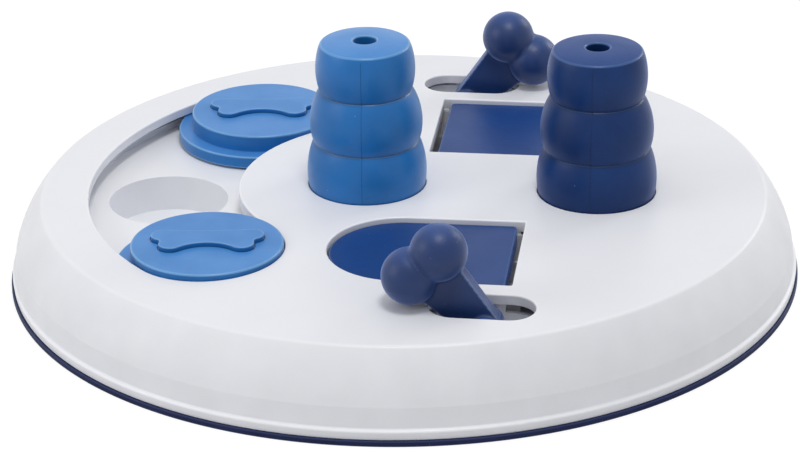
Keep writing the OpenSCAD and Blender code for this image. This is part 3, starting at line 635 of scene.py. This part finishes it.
def d_shape(grow, end_grow, corner_r):
    """Outline of a flap's opening, grown by grow and at its straight end by end_grow."""
    half = opening_r + grow
    right = edge_x + end_grow
    return rounded([(round_x, -flap_y - half, 0), (right, -flap_y - half, corner_r),
                    (right, -flap_y + half, corner_r), (round_x, -flap_y + half, 0)]) + arc(
        (round_x, -flap_y), half, 90, 270)[1:-1]


for side, place in at_side.items():
    bm = bmesh.new()
    close_ends(bm, walls(bm, d_shape(-flap_gap, -tail_gap, lid_corner_r), rounded(
        [(-1, flap_z, 0), (0, flap_z, 0.4), (0, flap_top, 0.45), (-1, flap_top, 0)])))
    barrel = rounded([(bore_r, -barrel_l / 2, 0), (barrel_r, -barrel_l / 2, 0.3),
                      (barrel_r, barrel_l / 2, 0.3), (bore_r, barrel_l / 2, 0)])
    lying = Matrix.Translation((pivot_x, -flap_y, pivot_z)) @ Matrix.Rotation(math.pi / 2, 4, "X")
    close_ends(bm, turned(bm, barrel, lying, closed=False, steps=64))
    tail = [Vector((pivot_x + along * tail_l, -flap_y + across * barrel_l / 2))
            for along, across in [(0, -1), (1, -1), (1, 1), (0, 1)]]
    close_ends(bm, walls(bm, tail, rounded([(-0.5, tail_z, 0), (0, tail_z, 0.3), (0, flap_z + root_in, 0)])))
    lid = finished(f"lid_{side}", bm, navy, place)
    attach(lid, f"flap_{side}")
    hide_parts(f"flap_{side}")

# ---- Bone levers ----
# The two levers that a nose pushes, navy polypropylene: a flat shank that ends in two round knobs like a
# bone's. Each is one solid moulding, keyed to its hinge pin by a hub in the lever pocket.
lever_y, lever_lean, lever_reach = 80.4, math.radians(43), 24.6
knob_r, knob_apart, knob_blend, root_blend, sleeve_blend = 7.9, 10.7, 2, 1.2, 0.6
shank_w, shank_top_w, shank_t, shank_edge = 9.2, 16.4, 5, 0.7
hub_r, hub_w, sleeve_r, sleeve_l, sleeve_off = 4.4, 9, 2.6, 16.1, 0.8
lever_cell = 0.3
lever_low, lever_high = (-16, -10, -6), (16, 10, 34)
# The same polypropylene from a blasted tool: a coarser grain, and a greyer, wider gleam than the lids have,
# with a painted top light, a painted highlight along the edges and painted shade in inner corners.
navy_grained = moulded(
    "injection moulded polypropylene, navy, blasted", colour="#12336a", mottle="#0f2b5c", above="#1b4180",
    pale="#8098c8", haze="#a9c0ff", rough=0.42, gloss=0.42, sheen=0.8, grain=0.9, grain_deep=0.045,
    specks=0.12, corner_shade=0.6)
cells = [math.ceil((high - low) / lever_cell) for low, high in zip(lever_low, lever_high)]

lever_tree, given = group("bone lever", {
    "Reach": "Float", "Knob radius": "Float", "Knob spacing": "Float", "Shank width": "Float",
    "Shank width at knobs": "Float", "Shank thickness": "Float", "Hub radius": "Float", "Hub width": "Float",
    "Sleeve radius": "Float", "Sleeve length": "Float", "Sleeve offset": "Float", "Knob blend": "Float",
    "Root blend": "Float", "Sleeve blend": "Float", "Edge rounding": "Float", "Material": "Material"})
where = add(lever_tree, "GeometryNodeInputPosition")
axes = add(lever_tree, "ShaderNodeSeparateXYZ", {0: where}).outputs
known = {**dict(given.items()), "wide": axes["X"], "thick": axes["Y"], "long": axes["Z"]}
for knob, side in [("left", -0.5), ("right", 0.5)]:
    aside = add(lever_tree, "ShaderNodeMath", {0: given["Knob spacing"], 1: side}, operation="MULTIPLY")
    middle = add(lever_tree, "ShaderNodeCombineXYZ", {0: aside, 2: given["Reach"]})
    away = add(lever_tree, "ShaderNodeVectorMath", {0: where, 1: middle}, operation="DISTANCE")
    known[f"off {knob} knob"] = away.outputs["Value"]
band = 4.0  # the field is kept for this far outside the surface
# The distance to the lever's surface, and from it the field, worked out in steps. Each step has a name, an
# operation and its terms, and a term is a number, an input or an earlier step.
for name, operation, *terms in [
        ("from right knob", "SUBTRACT", "off right knob", "Knob radius"),
        ("from left knob", "SUBTRACT", "off left knob", "Knob radius"),
        ("head", "SMOOTH_MIN", "from right knob", "from left knob", "Knob blend"),
        ("share of reach", "DIVIDE", "long", "Reach"),
        ("share", "MAXIMUM", "share of reach", 0),
        ("full flare", "SUBTRACT", "Shank width at knobs", "Shank width"),
        ("flare", "MULTIPLY", "full flare", "share"),
        ("width", "ADD", "Shank width", "flare"),
        ("half width", "MULTIPLY", "width", 0.5),
        ("off middle line", "ABSOLUTE", "wide"),
        ("from edge", "SUBTRACT", "off middle line", "half width"),
        ("off middle plane", "ABSOLUTE", "thick"),
        ("half thickness", "MULTIPLY", "Shank thickness", 0.5),
        ("from face", "SUBTRACT", "off middle plane", "half thickness"),
        ("section", "SMOOTH_MAX", "from edge", "from face", "Edge rounding"),
        ("below foot", "MULTIPLY", "long", -1),
        ("past reach", "SUBTRACT", "long", "Reach"),
        ("from ends", "MAXIMUM", "below foot", "past reach"),
        ("shank", "MAXIMUM", "section", "from ends"),
        ("wide squared", "POWER", "wide", 2),
        ("long squared", "POWER", "long", 2),
        ("off axis squared", "ADD", "wide squared", "long squared"),
        ("off axis", "SQRT", "off axis squared"),
        ("from hub's round", "SUBTRACT", "off axis", "Hub radius"),
        ("half hub", "MULTIPLY", "Hub width", 0.5),
        ("from hub's end", "SUBTRACT", "off middle plane", "half hub"),
        ("hub", "SMOOTH_MAX", "from hub's round", "from hub's end", "Edge rounding"),
        ("from sleeve's round", "SUBTRACT", "off axis", "Sleeve radius"),
        ("along sleeve", "SUBTRACT", "thick", "Sleeve offset"),
        ("off sleeve's middle", "ABSOLUTE", "along sleeve"),
        ("half sleeve", "MULTIPLY", "Sleeve length", 0.5),
        ("from sleeve's end", "SUBTRACT", "off sleeve's middle", "half sleeve"),
        ("sleeve", "SMOOTH_MAX", "from sleeve's round", "from sleeve's end", "Sleeve blend"),
        ("root", "SMOOTH_MIN", "shank", "hub", "Root blend"),
        ("stem", "SMOOTH_MIN", "root", "sleeve", "Sleeve blend"),
        ("lever", "SMOOTH_MIN", "head", "stem", "Root blend"),
        ("inside band", "SUBTRACT", band, "lever"),
        ("field", "MAXIMUM", "inside band", 0)]:
    inputs = {i: known.get(term, term) for i, term in enumerate(terms)}
    known[name] = add(lever_tree, "ShaderNodeMath", inputs, operation=operation)
volume = add(lever_tree, "GeometryNodeVolumeCube", {
    "Density": known["field"], "Min": lever_low, "Max": lever_high, "Resolution X": cells[0],
    "Resolution Y": cells[1], "Resolution Z": cells[2]})
skin = add(lever_tree, "GeometryNodeVolumeToMesh", {"Volume": volume, "Threshold": band, "Adaptivity": 0})
painted = add(lever_tree, "GeometryNodeSetMaterial", {
    "Geometry": add(lever_tree, "GeometryNodeRealizeInstances", {0: skin}), "Material": given["Material"]})
add(lever_tree, "NodeGroupOutput", {0: painted})

for side, place in at_side.items():
    mesh = grown(lever_tree, points([(0, 0, 0)]), {
        "Reach": lever_reach, "Knob radius": knob_r, "Knob spacing": knob_apart, "Shank width": shank_w,
        "Shank width at knobs": shank_top_w, "Shank thickness": shank_t, "Hub radius": hub_r,
        "Hub width": hub_w, "Sleeve radius": sleeve_r, "Sleeve length": sleeve_l, "Sleeve offset": sleeve_off,
        "Knob blend": knob_blend, "Root blend": root_blend, "Sleeve blend": sleeve_blend,
        "Edge rounding": shank_edge, "Material": navy_grained})
    tipped = Matrix.Translation((pivot_x, -lever_y, pivot_z)) @ Matrix.Rotation(-lever_lean, 4, "Y")
    lever = to_piece(f"bone_lever_{side}", mesh, navy_grained, place @ tipped)
    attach(lever, f"flap_{side}")
    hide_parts(f"lever_{side}")

# ---- Hinge pins and plugs ----
# Two turned steel pins, zinc plated, with one flat each that makes flap and lever turn together. White
# plugs close the bores in the tray's lever pockets once the pins are in.
for side in at_side:
    pin = to_piece(f"flat_pin_{side}", softened(f"hinge_pin_{side}", pin_edge), zinc_steel, even=True)
    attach(pin, f"flap_{side}")
    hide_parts(f"hinge_pin_{side}")
plugs = to_piece("bore_plugs", softened("pin_plugs", plug_edge), white_tray, even=True)
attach(plugs, "board")
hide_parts("pin_plugs")

# ---- Top cover ----
# The round white shell, injection moulded in ABS: a gently crowned top, a convex shoulder, a short skirt and
# a beaded hem. Its openings have small roundings, and bosses underneath take the case and tray screws.
foot_r, shoulder_z, top_r, top_round, shoulder_bulge = 113.1, 10.6, 105.2, 1.6, 1
hem_r, bead_r, bead_z, neck_r, neck_z = 114.3, 114.6, 4.3, 113.65, 4.75
wall, skirt_in_r, shell_last = 2.4, 111.1, 0.86  # the inside follows the shoulder for this share of its run
top_land, cavity_in = 3.5, 3  # where the flat top and the cavity's corner begin, in from the top's edge
window_half = 21.8
slot_x, slot_l, slot_w = 9.6, 29.2, 14.7
cone_x = {"left": -10.5, "right": 56.3}
seat_r, seat_in_r, seat_z, mouth_r = 17.2, 14, 24.2, 13
opening_edge, opening_land, boss_sunk = 0.5, 1.6, 0.6
crown, crown_level_r, crown_edge_r = 1, 52.2, 104.4


def lift(point):
    """How far the crowned top stands above the height of its edge."""
    t = (point.xy.length - crown_level_r) / (crown_edge_r - crown_level_r)
    return crown * (1 - min(max(t, 0), 1) ** 2)


def shoulder(t, inset):
    """A point of the shoulder's curve, from its foot at 0 to the flat top at 1."""
    run = Vector((top_r - foot_r, board_h - shoulder_z))
    out = Vector((run.y, -run.x)).normalized()
    return tuple(Vector((foot_r, shoulder_z)) + run * t + out * (4 * shoulder_bulge * t * (1 - t) - inset))


def encloses(ring, point):
    """Whether a closed ring of points has a point inside it."""
    hit = False
    for a, b in zip(ring, ring[1:] + ring[:1]):
        if (a.y > point.y) != (b.y > point.y) and point.x < a.x + (b.x - a.x) * (point.y - a.y) / (b.y - a.y):
            hit = not hit
    return hit


def fill_finely(bm, spacing, rings):
    """Fills the level face inside the first ring and outside the others with small, even triangles."""
    verts = [v for ring in rings for v in ring]
    flat_rings = [[v.co.xy for v in ring] for ring in rings]
    near = KDTree(len(verts))
    for i, v in enumerate(verts):
        near.insert(v.co, i)
    near.balance()
    edges = []
    for ring in rings:
        first = verts.index(ring[0])
        edges += [(first + i, first + (i + 1) % len(ring)) for i in range(len(ring))]
    rim = len(verts)
    z = verts[0].co.z
    for k in range(1, int(top_r / spacing)):
        for flat_p in spaced(round(2 * math.pi * k), k * spacing):
            p = Vector((*flat_p, z))
            if near.find(p)[2] > 0.4 * spacing and sum(encloses(ring, p) for ring in flat_rings) == 1:
                verts.append(bm.verts.new(p))
    made = delaunay_2d_cdt([v.co.xy for v in verts], edges, [], 0, 0.0001)
    origin = [ids[0] for ids in made[3]]
    for face in made[2]:
        ids = [origin[i] for i in face]
        middle = sum((verts[i].co.xy for i in ids), Vector((0, 0))) / 3
        if max(ids) >= rim or sum(encloses(ring, middle) for ring in flat_rings) == 1:
            bm.faces.new([verts[i] for i in ids])


def opening(bm, outline):
    """The wall of an opening in the top, rounded at its upper edge. Gives back its end rings."""
    rings = walls(bm, outline, rounded(
        [(opening_land, board_h, 0), (0, board_h, opening_edge), (0, under_z, 0.25),
         (opening_land, under_z, 0)]))
    return rings[0], rings[-1]


bm = bmesh.new()
outside = rounded(
    [(skirt_in_r, ring_h, 0.3), (hem_r, ring_h, 0.3), (bead_r, bead_z, 0.7), (neck_r, neck_z, 0.5),
     (foot_r, shoulder_z, 1.2)] + [(*shoulder(t / 16, 0), 0) for t in range(2, 15)]
    + [(top_r, board_h, top_round), (top_r - top_land, board_h, 0)])
inside = rounded(
    [(top_r - cavity_in - rim_land, under_z, 0), (top_r - cavity_in, under_z, 0.6)]
    + [(*shoulder(shell_last * t / 8, wall), 0) for t in range(8, -1, -1)] + [(skirt_in_r, ring_h + 1, 0)])
shell = turned(bm, inside + outside, closed=False, steps=288)
top_rings, under_rings = [shell[-1]], [shell[0]]
window = (arc((0, 0), track_r + window_half, 135, 225)
          + arc(polar(track_r, math.radians(225)), window_half, 225, 405)[1:]
          + arc((0, 0), track_r - window_half, 225, 135)[1:]
          + arc(polar(track_r, math.radians(135)), window_half, 315, 495)[1:-1])
openings = [window]
for place in at_side.values():
    stadium = (arc((slot_x + (slot_l - slot_w) / 2, -slot_y), slot_w / 2, -90, 90)
               + arc((slot_x - (slot_l - slot_w) / 2, -slot_y), slot_w / 2, 90, 270))
    for outline in (d_shape(0, 0, opening_corner_r), stadium):
        openings.append([(place @ p.to_3d()).to_2d() for p in outline])
for outline in openings:
    high, low = opening(bm, outline)
    top_rings.append(high)
    under_rings.append(low)
for x in cone_x.values():
    seat = turned(bm, rounded(
        [(seat_r + opening_land, board_h, 0), (seat_r, board_h, 0.12), (seat_r, seat_z, 0.2),
         (seat_in_r, seat_z, 0.2), (seat_in_r, board_h, 0.3), (mouth_r, board_h, 0.3),
         (mouth_r, under_z, 0.25), (mouth_r + opening_land, under_z, 0)]),
        Matrix.Translation((x, 0, 0)), closed=False, steps=128)
    top_rings.append(seat[0])
    under_rings.append(seat[-1])
fill_finely(bm, spacing=6, rings=top_rings)
fill(bm, *under_rings)
for vert in bm.verts:  # the top, with the openings' rounded edges, is raised to its crown
    if vert.co.z > board_h - opening_edge - 0.05:
        vert.co.z += lift(vert.co)

boss_tree, given = group("screw bosses", {"Boss": "Object", "Material": "Material"})
boss = add(boss_tree, "GeometryNodeObjectInfo", {"Object": given["Boss"]}).outputs["Geometry"]
bosses = add(boss_tree, "GeometryNodeInstanceOnPoints", {"Points": given["Geometry"], "Instance": boss})
made = add(boss_tree, "GeometryNodeSetMaterial", {
    "Geometry": add(boss_tree, "GeometryNodeRealizeInstances", {0: bosses}), "Material": given["Material"]})
add(boss_tree, "NodeGroupOutput", {0: made})
for places, foot_z, pilot_r, outer_r in [(case_places, base_top, 1.32, 3.4),
                                         (tray_bosses, floor_z, 1.12, 3.2)]:
    tube = bmesh.new()
    turned(tube, rounded([(pilot_r, foot_z, 0.15), (outer_r, foot_z, 0.3), (outer_r, under_z + boss_sunk, 0),
                          (pilot_r, under_z + boss_sunk, 0)]), steps=48)
    model = placed("boss_model", plain_mesh(tube))
    mesh = grown(boss_tree, points([(p[0], p[1], 0) for p in places]), {"Boss": model, "Material": white_abs})
    bm.from_mesh(mesh)
    bpy.data.objects.remove(model)
cover = finished("cover_shell", bm, white_abs, even=True)
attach(cover, "board")
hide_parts("top_cover")

# ---- Cones ----
# Two hollow cones of three stacked bulges that lift off their wells, one light blue and one navy, both
# polypropylene. A scent hole with a collar inside goes through each domed top, and a fine seam shows where
# the tool's halves met.
bulges = [  # foot radius, foot height, top radius, top height, widest radius
    (16.4, 24.5, 15.2, 39.9, 17.3), (15.2, 39.9, 13.25, 55.5, 16.2), (13.25, 55.5, 12.85, 69.4, 14.4)]
bulge_power, bulge_steps, cone_wall, cone_roof, cone_top_wall = 0.7, 22, 1.6, 2, 2.2
cone_dome, dome_points, rim_round, rim_points = 0.9, 6, 1, 4
hole_r, collar_t, collar_l, collar_drop = 3.4, 1.2, 1.5, 0.2
seam_r, seam_sunk, cone_steps = 0.11, 0.06, 160
labels = ["Foot radius", "Foot height", "Top radius", "Top height", "Widest radius"]
cone_tree, given = group("stacked bulges", {
    **{f"{label} {k + 1}": "Float" for k in range(len(bulges)) for label in labels},
    "Steps": "Int", "Rim points": "Int", "Power": "Float", "Hole radius": "Float", "Seam angle": "Float",
    "Seam radius": "Float", "Seam sunk": "Float", "Material": "Material", "Seam material": "Material"})
index = add(cone_tree, "GeometryNodeInputIndex")
bulges_done = add(cone_tree, "ShaderNodeMath", {0: index, 1: given["Steps"]}, operation="DIVIDE")
whole = add(cone_tree, "ShaderNodeMath", {0: bulges_done}, operation="FLOOR")
number = add(cone_tree, "ShaderNodeMath", {0: whole, 1: len(bulges) - 1}, operation="MINIMUM")
known = {**dict(given.items()), "bulges done": bulges_done, "whole bulges": number}
for label in labels:  # the values of the bulge that a point of the profile is in
    switch = add(cone_tree, "GeometryNodeIndexSwitch", data_type="FLOAT")
    while len(switch.index_switch_items) < len(bulges):
        switch.index_switch_items.new()
    cone_tree.links.new(number.outputs[0], switch.inputs["Index"])
    for k in range(len(bulges)):
        cone_tree.links.new(given[f"{label} {k + 1}"], switch.inputs[k + 1])
    known[label] = switch
# The profile, in steps as for the lever. It ends short of the top bulge's last points, where the rounded rim
# takes over.
for name, operation, *terms in [
        ("all steps", "MULTIPLY", "Steps", len(bulges)),
        ("change for rim", "SUBTRACT", 1, "Rim points"),
        ("count", "ADD", "all steps", "change for rim"),
        ("share", "SUBTRACT", "bulges done", "whole bulges"),
        ("turn", "MULTIPLY", "share", math.pi),
        ("cosine", "COSINE", "turn"),
        ("half cosine", "MULTIPLY", "cosine", 0.5),
        ("rise", "SUBTRACT", 0.5, "half cosine"),
        ("narrowing", "SUBTRACT", "Top radius", "Foot radius"),
        ("straight radius", "MULTIPLY_ADD", "narrowing", "rise", "Foot radius"),
        ("arch angle", "MULTIPLY", "rise", math.pi),
        ("sine", "SINE", "arch angle"),
        ("arch", "MAXIMUM", "sine", 0),
        ("swell", "POWER", "arch", "Power"),
        ("both radii", "ADD", "Foot radius", "Top radius"),
        ("mean radius", "MULTIPLY", "both radii", 0.5),
        ("most swell", "SUBTRACT", "Widest radius", "mean radius"),
        ("radius", "MULTIPLY_ADD", "swell", "most swell", "straight radius"),
        ("bulge height", "SUBTRACT", "Top height", "Foot height"),
        ("height", "MULTIPLY_ADD", "bulge height", "rise", "Foot height"),
        ("out from hole", "SUBTRACT", "radius", "Hole radius"),
        ("downwards", "MULTIPLY", "height", -1),
        ("sunk radius", "SUBTRACT", "radius", "Seam sunk")]:
    inputs = {i: known.get(term, term) for i, term in enumerate(terms)}
    known[name] = add(cone_tree, "ShaderNodeMath", inputs, operation=operation)
line = add(cone_tree, "GeometryNodeMeshLine", {"Count": known["count"], "Offset": (0, 0, 1)})
flat = add(cone_tree, "ShaderNodeCombineXYZ", {0: known["out from hole"], 1: known["downwards"]})
skirt = add(cone_tree, "GeometryNodeSetPosition", {"Geometry": line, "Position": flat})
loop = add(cone_tree, "GeometryNodeJoinGeometry")
cone_tree.links.new(given["Geometry"], loop.inputs[0])
cone_tree.links.new(skirt.outputs[0], loop.inputs[0])
closed_loop = add(cone_tree, "GeometryNodeMergeByDistance", {"Geometry": loop, "Distance": 0.002})
profile = add(cone_tree, "GeometryNodeMeshToCurve", {"Mesh": closed_loop})
circle = add(cone_tree, "GeometryNodeCurvePrimitiveCircle", {
    "Resolution": cone_steps, "Radius": given["Hole radius"]})
body = add(cone_tree, "GeometryNodeCurveToMesh", {"Curve": circle.outputs["Curve"], "Profile Curve": profile})
cone_out = add(cone_tree, "GeometryNodeJoinGeometry")
outwards = add(cone_tree, "GeometryNodeFlipFaces", {0: body})
cone_tree.links.new(outwards.outputs[0], cone_out.inputs[0])
bead = add(cone_tree, "GeometryNodeCurvePrimitiveCircle", {"Resolution": 8, "Radius": given["Seam radius"]})
upright = add(cone_tree, "ShaderNodeCombineXYZ", {0: known["sunk radius"], 2: known["height"]})
for half_turn in (0, math.pi):
    rib = add(cone_tree, "GeometryNodeSetPosition", {"Geometry": line, "Position": upright})
    around = add(cone_tree, "ShaderNodeMath", {0: given["Seam angle"], 1: half_turn}, operation="ADD")
    turns = add(cone_tree, "ShaderNodeCombineXYZ", {2: around})
    rib = add(cone_tree, "GeometryNodeTransform", {"Geometry": rib, "Rotation": turns})
    rib = add(cone_tree, "GeometryNodeCurveToMesh", {
        "Curve": add(cone_tree, "GeometryNodeMeshToCurve", {"Mesh": rib}),
        "Profile Curve": bead.outputs["Curve"], "Fill Caps": True})
    rib = add(cone_tree, "GeometryNodeSetMaterial", {"Geometry": rib, "Material": given["Seam material"]})
    cone_tree.links.new(rib.outputs[0], cone_out.inputs[0])
is_seam = add(cone_tree, "GeometryNodeMaterialSelection", {"Material": given["Seam material"]})
coated = add(cone_tree, "GeometryNodeSetMaterial", {
    "Geometry": add(cone_tree, "GeometryNodeRealizeInstances", {0: cone_out}), "Material": given["Material"],
    "Selection": add(cone_tree, "FunctionNodeBooleanMath", {0: is_seam}, operation="NOT")})
add(cone_tree, "NodeGroupOutput", {0: coated})

foot_of, top_of = bulges[0], bulges[-1]
t = (1 - math.cos(math.pi * (1 - rim_points / bulge_steps))) / 2
rim_start = (top_of[0] + (top_of[2] - top_of[0]) * t
             + (top_of[4] - (top_of[0] + top_of[2]) / 2) * math.sin(math.pi * t) ** bulge_power,
             top_of[1] + (top_of[3] - top_of[1]) * t, 0)
dome = [
    (hole_r + (top_of[2] - hole_r) * k / dome_points, top_of[3] + cone_dome * (1 - (k / dome_points) ** 2), 0)
    for k in range(dome_points - 1, 0, -1)]
inner_top = top_of[3] + cone_dome - cone_roof
lid_and_inside = rounded(
    [rim_start, (top_of[2] + 0.1, top_of[3], rim_round)] + dome
    + [(hole_r, top_of[3] + cone_dome, 0.5), (hole_r, inner_top - collar_l, 0.3),
       (hole_r + collar_t, inner_top - collar_l, 0.3), (hole_r + collar_t, inner_top - collar_drop, 0.3),
       (top_of[2] - cone_top_wall, top_of[3] - cone_roof, 1.2),
       (bulges[1][2] - cone_wall, bulges[1][3], 2), (bulges[0][2] - cone_wall, bulges[0][3], 2),
       (foot_of[0] - cone_wall, foot_of[1], 0.3), (foot_of[0], foot_of[1], 0)])


def seam_plastic(name, colour, mottle, haze):
    """The same plastic along the parting seam, a little darker and plainer, with painted shade in any inner
    corner.
    """
    return moulded(name, colour, mottle, above=colour, pale=colour, haze=haze, rough=0.45, gloss=0.2, sheen=0,
                   grain=0.6, grain_deep=0.014, specks=0, corner_shade=0.6)


blue_seam = seam_plastic("parting seam, light blue polypropylene", "#145a94", "#125288", haze="#d0e6ff")
navy_seam = seam_plastic("parting seam, navy polypropylene", "#0a2854", "#09244c", haze="#7f9fff")
for side, colour, slot, seam, seam_a in [("left", light_blue, "light_blue_plastic", blue_seam, -87.6),
                                         ("right", navy, "navy_plastic", navy_seam, -92.2)]:
    base = bpy.data.meshes.new("inside")
    base.from_pydata([(r - hole_r, -z, 0) for r, z in lid_and_inside],
                     [(k, k + 1) for k in range(len(lid_and_inside) - 1)], [])
    values = {f"{label} {k + 1}": bulges[k][i] for k in range(len(bulges)) for i, label in enumerate(labels)}
    mesh = grown(cone_tree, base, {
        **values, "Steps": bulge_steps, "Rim points": rim_points, "Power": bulge_power, "Hole radius": hole_r,
        "Seam angle": math.radians(seam_a), "Seam radius": seam_r, "Seam sunk": seam_sunk, "Material": colour,
        "Seam material": seam})
    cone = to_piece(f"stacked_cone_{side}", mesh, None, Matrix.Translation((cone_x[side], 0, 0)))
    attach(cone, f"cone_{side}")
    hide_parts(f"cone_{side}")

# ---- Floor, light and camera ----
# A plain pale floor, an even bright surround and four soft boxes, and the camera in front, a little to the
# right and above.
floor_half = 3000
surround_light = 0.46  # how strongly the surround lights the board


def seen_rays(tree):
    """1 for a ray that shows a thing to the eye, straight, mirrored or through another, or else 0."""
    rays = add(tree, "ShaderNodeLightPath").outputs
    seen = rays["Is Camera Ray"]
    for kind in ("Is Glossy Ray", "Is Transmission Ray"):
        seen = add(tree, "ShaderNodeMath", {0: seen, 1: rays[kind]}, operation="MAXIMUM")
    return seen


bm = bmesh.new()
bmesh.ops.create_grid(bm, x_segments=1, y_segments=1, size=floor_half)
paper = bpy.data.materials.new("pale backdrop paper")
paper.use_nodes = True
tree = paper.node_tree
# Paper gives the board a pale bounce. The eye sees it whiter than that, with the board's soft shadow on it.
plain = add(tree, "ShaderNodeBsdfDiffuse", {"Color": srgb("#ededed")})
shaded = add(tree, "ShaderNodeBsdfDiffuse", {"Color": srgb("#8c8c8c")})
lit = add(tree, "ShaderNodeEmission", {"Color": (1, 1, 1, 1), "Strength": 0.8})
shown = add(tree, "ShaderNodeAddShader", {0: shaded, 1: lit})
mixed = add(tree, "ShaderNodeMixShader", {0: seen_rays(tree), 1: plain, 2: shown})
tree.links.new(mixed.outputs[0], tree.nodes["Material Output"].inputs["Surface"])
floor = finished("floor", bm, paper)

surround = bpy.data.worlds.new("surround")
bpy.context.scene.world = surround
surround.use_nodes = True
tree = surround.node_tree
strength = add(tree, "ShaderNodeMapRange", {0: seen_rays(tree), 3: surround_light, 4: 1})
tree.links.new(strength.outputs[0], tree.nodes["Background"].inputs["Strength"])
tree.nodes["Background"].inputs["Color"].default_value = (1, 1, 1, 1)

for name, at, size, watts in [("overhead box", (-60, 60, 950), 800, 0.9),
                              ("key box", (90, -240, 940), 220, 2.9),
                              ("side box", (-800, -350, 450), 500, 1.6),
                              ("rear box", (620, 700, 430), 300, 1.6)]:
    light = bpy.data.lights.new(name, "AREA")
    light.size = size * mm
    light.energy = watts
    lamp = placed(name, light)
    lamp.location = Vector(at) * mm
    lamp.rotation_euler = (-lamp.location).to_track_quat("-Z", "Y").to_euler()

camera_at, camera_heading, camera_pitch, camera_roll = (114.6, -895.6, 418.6), 7.364, 24.247, -0.904
lens = bpy.data.cameras.new("camera")
lens.lens, lens.sensor_width = 152.09, 36
lens.clip_start, lens.clip_end = 0.05, 20
camera = placed("camera", lens)
camera.matrix_world = (
    Matrix.Translation(Vector(camera_at) * mm)
    @ Matrix.Rotation(math.radians(camera_heading), 4, "Z")
    @ Matrix.Rotation(math.radians(90 - camera_pitch), 4, "X")
    @ Matrix.Rotation(math.radians(camera_roll), 4, "Z"))
bpy.context.scene.camera = camera
bpy.context.scene.view_settings.view_transform = "Standard"
